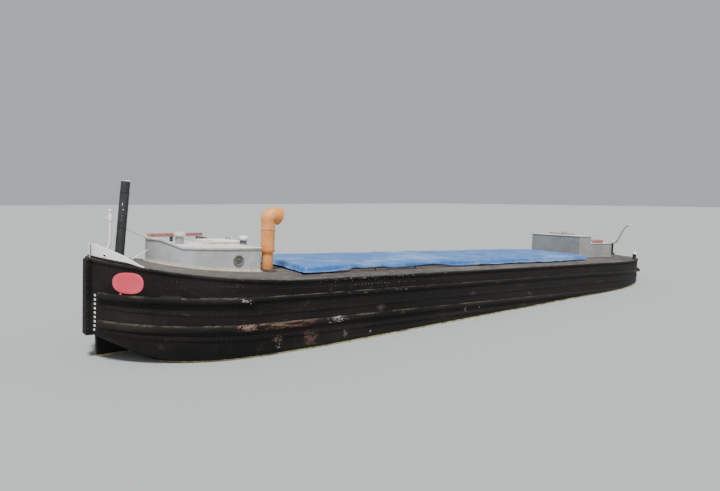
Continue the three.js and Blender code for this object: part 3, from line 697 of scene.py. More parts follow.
class Shader:
    """A material under construction."""

    def __init__(self, name: str) -> None:
        """Starts an empty node material.

        Args:
            name: the material's name.
        """
        self.material = bpy.data.materials.new(name)
        self.material.use_nodes = True
        self.tree = self.material.node_tree
        self.tree.nodes.clear()
        self.source = self.node("ShaderNodeTexCoord")

    def node(self, kind: str, settings: dict | None = None, sockets: dict | None = None) -> bpy.types.Node:
        """Adds one node.

        Args:
            kind: the node's type.
            settings: its own settings.
            sockets: values or links by input name or number.

        Returns:
            The node.
        """
        made = self.tree.nodes.new(kind)
        for key, value in (settings or {}).items():
            setattr(made, key, value)
        for key, value in (sockets or {}).items():
            link = value.socket if isinstance(value, Value) else value
            if isinstance(link, Socket):
                self.tree.links.new(link, made.inputs[key])
            else:
                made.inputs[key].default_value = link
        return made

    def place(self, stretch: Row = (1, 1, 1), shift: Row = (0, 0, 0), layer: str | None = None) -> Socket:
        """Object coordinates, or the piece's own flat layer, stretched and shifted.

        Args:
            stretch: factor along each axis.
            shift: distance added along each axis.
            layer: the flat layer's name, or None for object coordinates.

        Returns:
            The coordinates.
        """
        source = self.source.outputs["Object"]
        if layer:
            source = self.node("ShaderNodeUVMap", {"uv_map": layer}).outputs[0]
        return self.node("ShaderNodeMapping", None,
                         {"Vector": source, "Scale": tuple(stretch), "Location": tuple(shift)}).outputs[0]

    def part(self, name: str, vector: Socket | None = None) -> Value:
        """One coordinate of a vector, or of the object coordinates."""
        split = self.node("ShaderNodeSeparateXYZ", None, {0: vector or self.source.outputs["Object"]})
        return Value(self, split.outputs[name])

    def facing_up(self) -> Value:
        """Upward part of the surface's own normal."""
        return self.part("Z", self.source.outputs["Normal"])

    def noise(self, scale: float, detail: float = 4.0, stretch: Row = (1, 1, 1), shift: Row = (0, 0, 0),
              rough: float = 0.55, layer: str | None = None) -> Value:
        """Uneven value from 0 to 1, about 0.5 in the middle.

        Args:
            scale: how fine it is.
            detail: number of finer copies laid over it.
            stretch: factor along each axis.
            shift: distance added along each axis.
            rough: share of the finer copies.
            layer: the flat layer's name, or None for object coordinates.

        Returns:
            The value.
        """
        where = self.place(stretch, shift, layer)
        sockets = {"Vector": where, "Scale": scale, "Detail": detail, "Roughness": rough}
        return Value(self, self.node("ShaderNodeTexNoise", None, sockets).outputs[0])

    def pits(self, scale: float) -> Value:
        """Distance to the nearest of scattered points."""
        made = self.node("ShaderNodeTexVoronoi", None, {"Vector": self.place(), "Scale": scale})
        return Value(self, made.outputs["Distance"])

    def layers(self, colour: Colour | Socket, *coats: tuple[Number, Colour | Socket]) -> Socket:
        """Colours laid one over another, each as far as its cover goes.

        Args:
            colour: the lowest colour.
            coats: a cover from 0 to 1 and a colour, for each coat.

        Returns:
            The colour seen.
        """
        settings = {"data_type": "RGBA", "blend_type": "MIX", "clamp_factor": True}
        for cover, tint in coats:
            under, over = ((*tone, 1.0) if isinstance(tone, tuple) else tone for tone in (colour, tint))
            colour = self.node("ShaderNodeMix", settings, {0: cover, 6: under, 7: over}).outputs[2]
        return colour

    def rusty(self, grit: Value, low: float = 0.4, high: float = 0.62) -> Socket:
        """Rust, with paler grains where the grit is high."""
        return self.layers(RUST, (grit.step(low, high), RUST_LIGHT))

    def bump(self, height: Value, distance: float, strength: float) -> Socket:
        """Normal of a surface raised by height times distance, in metres."""
        return self.node("ShaderNodeBump", None,
                         {"Height": height, "Distance": distance, "Strength": strength}).outputs[0]

    def done(self, colour: Socket, roughness: Number, normal: Socket | None, metallic: Number = 0.0,
             **constants: float) -> Material:
        """Joins the finished fields to the surface shader.

        Args:
            colour: base colour.
            roughness: roughness.
            normal: bumped normal, or None.
            metallic: metallic share.
            constants: other inputs of the shader that are the same all over, named with underscores.

        Returns:
            The material.
        """
        sockets = {"Base Color": colour, "Roughness": roughness, "Metallic": metallic}
        if normal is not None:
            sockets["Normal"] = normal
        sockets.update({key.replace("_", " "): value for key, value in constants.items()})
        surface = self.node("ShaderNodeBsdfPrincipled", None, sockets)
        self.node("ShaderNodeOutputMaterial", None, {"Surface": surface.outputs[0]})
        return self.material


# Finishes


@dataclass(frozen=True)
class Finish:
    """A finish with the name of the material slot that it belongs to."""

    name: str
    slot: str

    def shade(self, s: Shader) -> Material:
        """Builds the nodes of the finish."""
        raise NotImplementedError

    def material(self) -> Material:
        """The finish's material, made once."""
        return bpy.data.materials.get(self.name) or self.shade(Shader(self.name))


RUST: Colour = (0.1, 0.045, 0.03)
RUST_LIGHT: Colour = (0.22, 0.13, 0.09)


@dataclass(frozen=True)
class Patch:
    """A ragged patch of another colour on the hull's side, between two distances aft and two heights."""

    fore: float
    aft: float
    low: float
    high: float
    colour: Colour
    strength: float
    bare: float


@dataclass(frozen=True)
class TarredSteel(Finish):
    """Bitumen-black plating, dusty and streaked, with scuffs, rust, a weed line and a slimed bottom."""

    black: Colour = (0.0082, 0.0074, 0.007)
    worn: Colour = (0.0205, 0.018, 0.0162)
    scuffs: float = 0.15
    rust: float = 0.25
    edge_wear: float = 0.0
    edge_tone: Colour = (0.125, 0.11, 0.095)
    roughness: float = 0.55
    rusty: tuple[Row, ...] = ()
    patches: tuple[Patch, ...] = ()

    def shade(self, s: Shader) -> Material:
        """Layers from the paint outward: fading, dust streaks, scuffs, rust, weed line, slime.

        Args:
            s: the new material's shader.

        Returns:
            The finished material.
        """
        x, z = s.part("X"), s.part("Z")
        above = z - WATER.height(ORIGIN - x)
        broad = s.noise(0.9, 3, stretch=(0.45, 1, 1.4))
        streak = s.noise(7, 5, stretch=(1, 1, 0.09))
        grit = s.noise(46, 6)
        smear = s.noise(3.2, 6, stretch=(0.18, 0.18, 2.6), shift=(3, 1, 7))
        colour = s.layers(self.black, (broad.step(0.35, 0.72), self.worn),
                          (streak.step(0.52, 0.78) * 0.35, (0.027, 0.024, 0.021)),
                          (smear.step(0.55, 0.74) * 0.22, (0.04, 0.035, 0.031)),
                          (x.step(at(2.5), at(14.0)) * 0.8, (0.0165, 0.015, 0.014)))
        flecks = s.noise(68, 3, stretch=(0.7, 0.7, 1.2)).step(0.63, 0.7)
        where = s.noise(2.3, 3, stretch=(0.6, 1, 2.2), shift=(9, 4, 2)).step(0.48, 0.66)
        pale = flecks * where * self.scuffs
        if self.edge_wear:
            fine = s.noise(20, 5, stretch=(0.3, 1, 1), shift=(6, 2, 2), rough=0.6).step(0.36, 0.6)
            fine = fine * s.noise(2.2, 3, stretch=(1, 1, 0.3), shift=(4, 1, 7)).step(0.4, 0.56)
            fore = 0.3 + 0.7 * x.step(at(12), at(5))
            cover = s.facing_up().step(0.15, 0.8) * fine * fore * self.edge_wear
            colour = s.layers(colour, (cover, self.edge_tone))
        colour = s.layers(colour, (pale, (0.34, 0.315, 0.28)))
        ragged = (s.noise(44, 4, stretch=(0.6, 0.6, 1), shift=(3, 3, 6), rough=0.6) * 0.62
                  + s.noise(13, 4, stretch=(0.6, 1, 1.4), shift=(1, 6, 2), rough=0.6) * 0.38)
        for patch in self.patches:
            wide, tall = (patch.aft - patch.fore) * 0.45, (patch.high - patch.low) * 0.45
            reach = (x - at(patch.aft - wide)).band(0, patch.aft - patch.fore - 2 * wide, wide * 1.25)
            reach = reach * z.band(patch.low + tall, patch.high - tall, tall * 1.25)
            worn_off = (ragged + reach * 0.13 - 0.13).step(patch.bare, patch.bare + 0.05)
            colour = s.layers(colour, (worn_off * patch.strength * reach.step(0.0, 0.15), patch.colour))
        bloom = s.noise(3.8, 7, stretch=(0.55, 1, 1.3), shift=(5, 8, 1), rough=0.62)
        rust = bloom.step(0.6, 0.69) * self.rust * grit.step(0.35, 0.6)
        for fore, aft in self.rusty:
            wear = s.noise(11, 6, stretch=(0.4, 1, 1.6), shift=(2, 2, 5)).step(0.42, 0.58)
            rust = rust.most((x - at(aft)).band(0, aft - fore, 0.25) * wear * 0.9)
        weed_edge = above + (s.noise(9, 4) - 0.5) * 0.07
        weed = (above + (s.noise(14, 4) - 0.5) * 0.025).band(-0.004, 0.028, 0.012)
        weed = weed * (0.45 + 0.55 * s.noise(5, 4, stretch=(1, 1, 0.2)).step(0.36, 0.6))
        damp = weed_edge.step(0.1, 0.02)
        slime = s.layers((0.022, 0.026, 0.012), (s.noise(5, 5).step(0.35, 0.68), (0.085, 0.06, 0.03)))
        colour = s.layers(colour, (rust, s.rusty(grit)), (damp * 0.6, (0.0075, 0.0065, 0.005)),
                          (weed, (0.36, 0.34, 0.17)), (weed_edge.step(0.0, -0.05), slime))
        rough = self.roughness + broad * 0.22 + rust * 0.3 + pale * 0.15 - damp * 0.18
        height = grit * 0.25 + s.noise(170, 3) * 0.12 + rust * 0.5 + s.noise(9, 3) * 0.9
        return s.done(colour, rough, s.bump(height, 0.0028, 0.7), Specular_IOR_Level=0.12)


@dataclass(frozen=True)
class WornPaint(Finish):
    """Brushed paint on steel: fading, dust on what faces up, run-down dirt, chips and rust."""

    colour: Colour
    faded: Colour
    dirt: Colour = (0.12, 0.1, 0.08)
    dirty: float = 0.5
    chips: float = 0.3
    rust: float = 0.2
    roughness: float = 0.5
    under: Colour = (0.06, 0.05, 0.045)
    brush: float = 0.4
    flecks: float = 0.0
    streaks: float = 0.0

    def shade(self, s: Shader) -> Material:
        """Layers from the paint outward: fading, streaks, stains, runs, chips with rust in them, flecks.

        Args:
            s: the new material's shader.

        Returns:
            The finished material.
        """
        broad = s.noise(1.6, 4)
        stain = s.noise(6.5, 6, rough=0.62, shift=(4, 2, 9))
        runs = s.noise(13, 5, stretch=(1, 1, 0.07))
        grit = s.noise(75, 5)
        up = s.facing_up().step(0.3, 0.9)
        colour = s.layers(self.colour, (broad.step(0.34, 0.7), self.faded))
        if self.streaks:
            streak = s.noise(2.0, 4, stretch=(1, 1, 0.1), shift=(8, 2, 5)).step(0.46, 0.68) * (1 - up)
            green = s.noise(2.1, 5, stretch=(1, 1, 0.4), shift=(2, 6, 4)).step(0.56, 0.7) * (1 - up)
            colour = s.layers(colour, (streak * self.streaks, (0.56, 0.63, 0.68)),
                              (green * self.streaks * 0.6, (0.3, 0.33, 0.22)))
        chip = s.noise(21, 7, shift=(7, 7, 0), rough=0.66).step(0.665, 0.69) * self.chips
        bloom = s.noise(5.2, 7, shift=(0, 3, 8), rough=0.64).step(0.63, 0.72) * self.rust
        dust = up * s.noise(4, 6, shift=(1, 6, 3)).step(0.45, 0.68) * self.dirty * 1.2
        colour = s.layers(colour, (stain.step(0.5, 0.78) * self.dirty, self.dirt),
                          (runs.step(0.55, 0.8) * (1 - up) * self.dirty, self.dirt), (dust, self.dirt),
                          (chip, s.layers(self.under, (grit.step(0.4, 0.6), RUST))),
                          (bloom, s.rusty(grit, 0.38)))
        if self.flecks:
            fleck = s.noise(60, 3, stretch=(1, 1, 0.8)).step(0.635, 0.68) * self.flecks
            fleck = fleck * s.noise(5, 3, shift=(3, 3, 3)).step(0.42, 0.6)
            colour = s.layers(colour, (fleck, (0.55, 0.54, 0.5)))
        rough = self.roughness + stain * 0.18 + chip * 0.25 + bloom * 0.25
        marks = s.noise(55, 3, stretch=(0.12, 0.12, 1.0))
        height = marks * self.brush + grit * 0.25 - chip * 0.9 + bloom * 0.5 + s.noise(11, 3) * 0.5
        return s.done(colour, rough, s.bump(height, 0.0012, 0.65), Specular_IOR_Level=0.45)


@dataclass(frozen=True)
class DeckPaint(Finish):
    """Trodden grey deck plating: dust in sheets, worn lanes, damp marks and rust specks."""

    grey: Colour = (0.066, 0.06, 0.055)
    dusty: Colour = (0.13, 0.117, 0.105)

    def shade(self, s: Shader) -> Material:
        """Layers: paint, dust, worn lanes, dark damp patches, rust specks, non-slip grit.

        Args:
            s: the new material's shader.

        Returns:
            The finished material.
        """
        broad = s.noise(0.8, 5, stretch=(0.7, 1, 1))
        mottled = s.noise(5, 7, rough=0.62)
        grit = s.noise(120, 4)
        lanes = s.noise(2.6, 6, stretch=(0.25, 1.6, 1), shift=(2, 9, 1))
        damp = s.noise(1.3, 5, shift=(5, 5, 5)).step(0.6, 0.72)
        rust = s.noise(8, 7, shift=(8, 1, 4), rough=0.66).step(0.645, 0.7)
        colour = s.layers(self.grey, (broad.step(0.36, 0.66), self.dusty),
                          (mottled.step(0.46, 0.72) * 0.5, (0.225, 0.2, 0.178)),
                          (lanes.step(0.52, 0.7) * 0.45, (0.062, 0.058, 0.056)),
                          (damp * 0.5, (0.045, 0.042, 0.04)), (rust * 0.55, s.rusty(grit, 0.4, 0.6)),
                          (grit.step(0.3, 0.7) * 0.25, (0.03, 0.03, 0.03)))
        rough = 0.72 + mottled * 0.2 - damp * 0.25
        height = grit * 0.5 + mottled * 0.5 + rust * 0.4
        return s.done(colour, rough, s.bump(height, 0.002, 0.7), Specular_IOR_Level=0.3)


@dataclass(frozen=True)
class SunBleachedPlastic(Finish):
    """Terracotta drain-pipe plastic: bleached on top, scratched along its length, grimed low down."""

    def shade(self, s: Shader) -> Material:
        """Layers: moulded colour, bleaching, scratches, splashes and grime.

        Args:
            s: the new material's shader.

        Returns:
            The finished material.
        """
        z = s.part("Z")
        broad = s.noise(3, 5)
        scratch = s.noise(42, 4, stretch=(1, 1, 0.05)).step(0.6, 0.7)
        blot = s.noise(9, 6, rough=0.65, shift=(4, 4, 1)).step(0.56, 0.68)
        flecks = s.noise(34, 4, shift=(1, 7, 2)).step(0.665, 0.7)
        splash = s.noise(46, 6, stretch=(0.7, 0.7, 1.6), shift=(2, 8, 1)).step(0.55, 0.66)
        splash = z.band(2.6, 2.64, 0.035) * splash
        grime = z.step(2.05, 1.84) * s.noise(14, 4).step(0.3, 0.62)
        colour = s.layers((0.76, 0.27, 0.06), (broad.step(0.33, 0.66), (0.84, 0.37, 0.11)),
                          (scratch * 0.3, (0.84, 0.52, 0.28)), (blot * 0.5, (0.45, 0.17, 0.06)),
                          (flecks * 0.8, (0.88, 0.8, 0.7)),
                          (z.band(2.204, 2.258, 0.004) * 0.75, (0.52, 0.165, 0.04)),
                          (splash * 0.6, (0.85, 0.8, 0.72)), (grime * 0.75, (0.13, 0.075, 0.045)))
        height = s.noise(90, 3) * 0.4 + scratch * 0.4 + broad * 0.8
        rough = 0.42 + broad * 0.2 + blot * 0.12
        return s.done(colour, rough, s.bump(height, 0.0009, 0.6), Specular_IOR_Level=0.45)


@dataclass(frozen=True)
class WovenSheet(Finish):
    """Laminated blue tarpaulin: a flat weave under film, chalky where rubbed, with painted shade along the
    creases, painted sheen and painted shade in patches, and dust in the hollows.
    """

    threads: float = 420.0
    layer: str = "plan"

    def shade(self, s: Shader) -> Material:
        """The weave is the product of two sine rows over the sheet's own flat plan.

        Args:
            s: the new material's shader.

        Returns:
            The finished material.
        """
        def patchy(scale: float, detail: float, stretch: Row = (1, 1, 1), shift: Row = (0, 0, 0),
                   rough: float = 0.55) -> Value:
            """Uneven value over the sheet's flat plan."""
            return s.noise(scale, detail, stretch, shift, rough, self.layer)

        u, v = (s.part(name, s.place(layer=self.layer)) for name in "XY")
        weave = (u * self.threads).sine() * (v * self.threads).sine()
        rubbed = patchy(4.5, 6, rough=0.62).step(0.5, 0.72)
        crease = patchy(1.9, 5, stretch=(1, 2.4, 1), shift=(3, 8, 0))
        line = 1 - (abs(crease - 0.5) * 26).step(0.0, 1.0)
        sheen = patchy(0.75, 5, stretch=(0.6, 1.3, 1), shift=(2, 5, 0), rough=0.6).step(0.5, 0.66)
        dust = patchy(2.4, 6, shift=(7, 1, 0)).step(0.53, 0.74)
        shade = patchy(1.3, 6, stretch=(0.5, 2.2, 1), shift=(1, 4, 0), rough=0.6).step(0.55, 0.7)
        # Painted light in the colour: the crease lines are darkened as painted shade, the sheen patches are a
        # painted highlight, and the shade patches are painted shade.
        colour = s.layers((0.03, 0.135, 0.4), (patchy(0.9, 4).step(0.34, 0.66), (0.062, 0.205, 0.5)),
                          (rubbed * 0.3, (0.2, 0.36, 0.6)), (line * 0.5, (0.02, 0.075, 0.23)),
                          (sheen * 0.45, (0.34, 0.5, 0.7)), (dust * 0.28, (0.3, 0.32, 0.33)),
                          (shade * 0.45, (0.03, 0.12, 0.36)))
        height = weave * 0.1 + patchy(16, 5) * 1.4 + line * 1.1 + crease * 6
        return s.done(colour, 0.4 + rubbed * 0.2 + dust * 0.2, s.bump(height, 0.0022, 0.8),
                      Specular_IOR_Level=0.5, Sheen_Weight=0.12, Sheen_Roughness=0.5)


@dataclass(frozen=True)
class WeatheredTimber(Finish):
    """Old red-brown painted boards laid across the barge: grain, seams, splits and grey bare wood."""

    board: float = 0.26
    dark: Colour = (0.135, 0.06, 0.038)
    light: Colour = (0.235, 0.125, 0.085)

    def shade(self, s: Shader) -> Material:
        """Grain is noise drawn out along the boards; a seam is the rest of x over the board's width.

        Args:
            s: the new material's shader.

        Returns:
            The finished material.
        """
        seam = abs((s.part("X") / self.board).rest() - 0.5).step(0.485, 0.497)
        grain = s.noise(26, 6, stretch=(1.6, 0.1, 1), rough=0.6)
        split = s.noise(40, 4, stretch=(2.2, 0.05, 1), shift=(3, 0, 1)).step(0.66, 0.7)
        gone = split.most(seam)
        colour = s.layers(self.dark, (grain.step(0.34, 0.66), self.light),
                          (s.noise(2.4, 5).step(0.46, 0.7) * 0.7, (0.215, 0.185, 0.155)),
                          (gone * 0.85, (0.025, 0.018, 0.014)))
        height = grain * 0.7 - gone * 1.6
        return s.done(colour, 0.72 + grain * 0.18, s.bump(height, 0.002, 0.8), Specular_IOR_Level=0.3)


@dataclass(frozen=True)
class RustyIron(Finish):
    """Bare iron gone brown: scale, pits and paler powder."""

    dark: Colour = (0.045, 0.032, 0.026)
    rust: float = 1.0

    def shade(self, s: Shader) -> Material:
        """Rust over dark scale, with pits from scattered points.

        Args:
            s: the new material's shader.

        Returns:
            The finished material.
        """
        broad = s.noise(7, 6, rough=0.62)
        fine = s.noise(60, 5)
        pits = s.pits(42).step(0.22, 0.05)
        colour = s.layers(self.dark, (broad.step(0.38, 0.62) * self.rust, RUST),
                          (fine.step(0.54, 0.7) * 0.6 * self.rust, RUST_LIGHT),
                          (pits * 0.7, (0.02, 0.013, 0.01)))
        height = fine * 0.6 + broad * 0.6 - pits * 0.8
        return s.done(colour, 0.66 + fine * 0.22, s.bump(height, 0.0016, 0.8), broad.step(0.62, 0.4) * 0.35)


@dataclass(frozen=True)
class DustyGlass(Finish):
    """Porthole glass that has lost its shine, dusty at the rim, and dark with painted shade of the cabin
    behind.
    """

    def shade(self, s: Shader) -> Material:
        """Dark glass, whose dark colour is painted shade of the cabin behind, under blotches of dust.

        Args:
            s: the new material's shader.

        Returns:
            The finished material.
        """
        dust = s.noise(16, 6, rough=0.65)
        # The dark base colour is painted shade of the unlit cabin behind the glass.
        colour = s.layers((0.052, 0.049, 0.036), (dust.step(0.36, 0.68), (0.135, 0.125, 0.1)))
        return s.done(colour, 0.2 + dust * 0.35, s.bump(s.noise(30, 3), 0.0006, 0.4), Coat_Weight=0.6)


@dataclass(frozen=True)
class CastBronze(Finish):
    """Propeller bronze under water: brown film with brighter worn edges and green in the pits."""

    def shade(self, s: Shader) -> Material:
        """Film, verdigris and casting grain.

        Args:
            s: the new material's shader.

        Returns:
            The finished material.
        """
        film = s.noise(11, 6, rough=0.6)
        fine = s.noise(85, 4)
        colour = s.layers((0.34, 0.21, 0.085), (film.step(0.38, 0.66), (0.16, 0.105, 0.05)),
                          (s.noise(19, 5, shift=(2, 5, 1)).step(0.6, 0.7) * 0.6, (0.1, 0.2, 0.14)))
        return s.done(colour, 0.36 + film * 0.3, s.bump(fine * 0.6 + film, 0.0009, 0.6), 0.85)


@dataclass(frozen=True)
class StudioGround(Finish):
    """Plain pale floor."""

    pale: Colour = (0.385, 0.39, 0.395)

    def shade(self, s: Shader) -> Material:
        """A plain pale colour with the least unevenness."""
        colour = s.layers(self.pale, (s.noise(0.15, 2), tuple(0.985 * c for c in self.pale)))
        return s.done(colour, 0.9, None, Specular_IOR_Level=0.1)


CHALK: Colour = (0.42, 0.4, 0.37)
SALMON: Colour = (0.26, 0.15, 0.12)
SOOT: Colour = (0.085, 0.075, 0.068)
BROWN: Colour = (0.11, 0.064, 0.045)
HULL = TarredSteel("tarred_hull", "hull_black", patches=(
    Patch(3.3, 3.67, 0.49, 0.79, BROWN, 0.8, 0.42), Patch(2.61, 2.93, 0.61, 0.76, SALMON, 0.5, 0.46),
    Patch(2.72, 2.95, 0.45, 0.67, CHALK, 0.85, 0.54), Patch(7.8, 7.93, 0.71, 1.01, CHALK, 0.55, 0.5),
    Patch(8.31, 8.41, 0.79, 0.93, CHALK, 0.55, 0.5), Patch(4.19, 4.42, 0.48, 0.77, CHALK, 0.4, 0.52),
    Patch(4.91, 4.98, 0.56, 0.66, CHALK, 0.7, 0.48), Patch(5.05, 5.39, 0.99, 1.18, SOOT, 0.6, 0.44),
    Patch(7.96, 8.24, 1.12, 1.28, SOOT, 0.6, 0.46), Patch(10.28, 10.55, 0.97, 1.15, SOOT, 0.6, 0.46)))
BAR = TarredSteel("scuffed_bar", "hull_black", (0.0075, 0.0068, 0.0064), (0.024, 0.021, 0.019),
                  scuffs=0.35, rust=0.15, edge_wear=0.5, patches=(
                      Patch(2.0, 2.27, 1.34, 1.5, CHALK, 0.95, 0.5),
                      Patch(2.4, 8.02, 1.38, 1.5, (0.2, 0.185, 0.165), 0.55, 0.56),
                      Patch(8.74, 9.43, 1.38, 1.5, (0.24, 0.225, 0.2), 0.6, 0.54),
                      Patch(16.1, 17.4, 1.3, 1.46, CHALK, 0.4, 0.5),
                      Patch(18.0, 18.8, 1.3, 1.6, (0.16, 0.148, 0.13), 0.5, 0.43)))
EDGE_BAR = replace(BAR, name="rubbed_edge", edge_wear=0.4, patches=(
    Patch(2.5, 8.2, 1.5, 2.3, CHALK, 0.6, 0.545), Patch(8.0, 14.5, 1.5, 2.3, CHALK, 0.4, 0.575)))
LOW_BAR = replace(BAR, name="chafed_bar", scuffs=0.25, rust=0.3, edge_wear=0.55,
                  edge_tone=(0.125, 0.112, 0.07), rusty=((2.45, 3.36),), patches=(
                      Patch(1.97, 2.38, 0.85, 1.05, SALMON, 0.8, 0.44),
                      Patch(3.8, 4.42, 0.83, 1.04, CHALK, 0.9, 0.475)))
RIVETS = TarredSteel("rubbed_rivets", "hull_black", (0.0125, 0.0115, 0.0105), (0.05, 0.044, 0.039),
                     scuffs=0.9, rust=0.2, edge_wear=0.6, edge_tone=(0.2, 0.18, 0.16),
                     patches=(Patch(2.4, 7.6, 1.5, 1.8, CHALK, 0.5, 0.5),))
DECK = DeckPaint("trodden_deck", "deck_grey")
COAMING = DeckPaint("coaming_grey", "deck_grey", grey=(0.085, 0.08, 0.076))
WHITE = WornPaint("chalked_white", "white_paint", (0.95, 0.95, 0.93), (0.91, 0.905, 0.88), (0.45, 0.41, 0.35),
                  dirty=0.15, rust=0.1, roughness=0.45)
CABIN = WornPaint("cabin_grey_paint", "cabin_grey", (0.385, 0.4, 0.392), (0.48, 0.49, 0.475),
                  (0.235, 0.215, 0.175), dirty=0.45, chips=0.35, rust=0.25, roughness=0.46, streaks=0.45)
ROOFING = WornPaint("roof_paint", "cabin_grey", (0.7, 0.675, 0.6), (0.8, 0.775, 0.7), (0.36, 0.31, 0.23),
                    chips=0.45, rust=0.5, roughness=0.58)
SIGN = WornPaint("board_red", "sign_red", (0.72, 0.065, 0.105), (0.8, 0.115, 0.16), (0.42, 0.07, 0.07),
                 dirty=0.25, chips=0.25, rust=0.05, roughness=0.38)
HATCH_RED = WornPaint("faded_hatch_red", "hatch_red", (0.5, 0.23, 0.21), (0.62, 0.37, 0.34), (0.3, 0.2, 0.17),
                      chips=0.4, roughness=0.55)
HATCH_SIDES = WornPaint("hatch_side_red", "hatch_red", (0.34, 0.105, 0.1), (0.42, 0.17, 0.155),
                        (0.22, 0.12, 0.1), chips=0.4, roughness=0.55)
POST = WornPaint("scuffed_post_black", "post_black", (0.018, 0.022, 0.0225), (0.04, 0.045, 0.0445),
                 (0.03, 0.028, 0.024), dirty=0.4, chips=0.5, rust=0.25, roughness=0.42, flecks=0.7)
ENGINE_PAINT = WornPaint("oily_engine_green", "engine_green", (0.045, 0.105, 0.065), (0.075, 0.14, 0.095),
                         (0.02, 0.018, 0.014), dirty=0.7, chips=0.4, roughness=0.34)
PALE = WornPaint("pale_vent_paint", "cabin_grey", (0.6, 0.61, 0.59), (0.7, 0.7, 0.67), (0.25, 0.22, 0.17),
                 dirty=0.4, rust=0.25, roughness=0.45)
BEAM = WornPaint("rosy_beam", "hatch_red", (0.42, 0.14, 0.13), (0.52, 0.25, 0.23), (0.16, 0.1, 0.05),
                 dirty=0.8, chips=0.5, rust=0.4, roughness=0.6)
CASING_GREY = WornPaint("casing_grey_paint", "cabin_grey", (0.255, 0.265, 0.255), (0.33, 0.335, 0.32),
                        (0.2, 0.18, 0.15), dirty=0.45, chips=0.35, rust=0.25)
CREAM = WornPaint("foot_cream", "cabin_grey", (0.5, 0.46, 0.36), (0.6, 0.57, 0.48), (0.2, 0.15, 0.1),
                  dirty=0.7, chips=0.6, rust=0.5, roughness=0.55)
GREY_RIM = WornPaint("rim_grey", "porthole_glass", (0.145, 0.14, 0.12), (0.21, 0.2, 0.175), chips=0.4,
                     rust=0.3)
PIPE_PLASTIC = SunBleachedPlastic("bleached_terracotta", "terracotta_plastic")
SHEET = WovenSheet("woven_blue_sheet", "tarp_blue")
TIMBER = WeatheredTimber("weathered_boards", "timber")
LEDGE = WeatheredTimber("faded_ledge", "timber", dark=(0.38, 0.25, 0.2), light=(0.58, 0.45, 0.37))
IRON = RustyIron("brown_iron", "bare_iron")
DARK_IRON = RustyIron("dark_iron", "bare_iron", (0.03, 0.027, 0.025), rust=0.35)
GLASS = DustyGlass("dusty_porthole_glass", "porthole_glass")
BRONZE = CastBronze("cast_bronze", "bronze")
GROUND = StudioGround("studio_ground", "")


# Placing pieces


def piece(name: str, shape: Surface | Array, finish: Finish, body: Body = Body.ROOT,
          stands_for: Iterable[str] = (), **form: float) -> Piece:
    """Builds a new piece, dresses it, puts it on its body and reports it.

    Args:
        name: the piece's name.
        shape: its surface, or one shape whose rings close on themselves.
        finish: its finish.
        body: the body that carries it.
        stands_for: nodes of the frame that it replaces.
        form: how the surface is built.

    Returns:
        The piece.
    """
    obj = (shape if isinstance(shape, Surface) else Surface(shape)).build(name, **form)
    obj.data.materials.append(finish.material())
    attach(obj, body.value)
    nodes = list(stands_for)
    if nodes:
        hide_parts(*nodes)
    LOG.info("%s: %d faces, %s", obj.name, len(obj.data.polygons), finish.name)
    return obj


def dress(finish: Finish, edge: float, *nodes: str) -> None:
    """Gives nodes of the frame their finish and softened edges.

    Args:
        finish: their finish.
        edge: width of the softened edge, or 0 for none.
        nodes: the nodes' names.
    """
    for node in nodes:
        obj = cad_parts[node]
        if not obj.material_slots:
            obj.data.materials.append(None)
        for held in obj.material_slots:
            held.link = "OBJECT"
            held.material = finish.material()
        if edge:
            obj.modifiers.new("weld", "WELD").merge_threshold = 1e-5
            bevel = obj.modifiers.new("edge", "BEVEL")
            bevel.width, bevel.segments = edge, 2
            bevel.limit_method, bevel.angle_limit = "ANGLE", math.radians(35)
        LOG.info("%s: %s", node, finish.name)


# Camera, floor and light


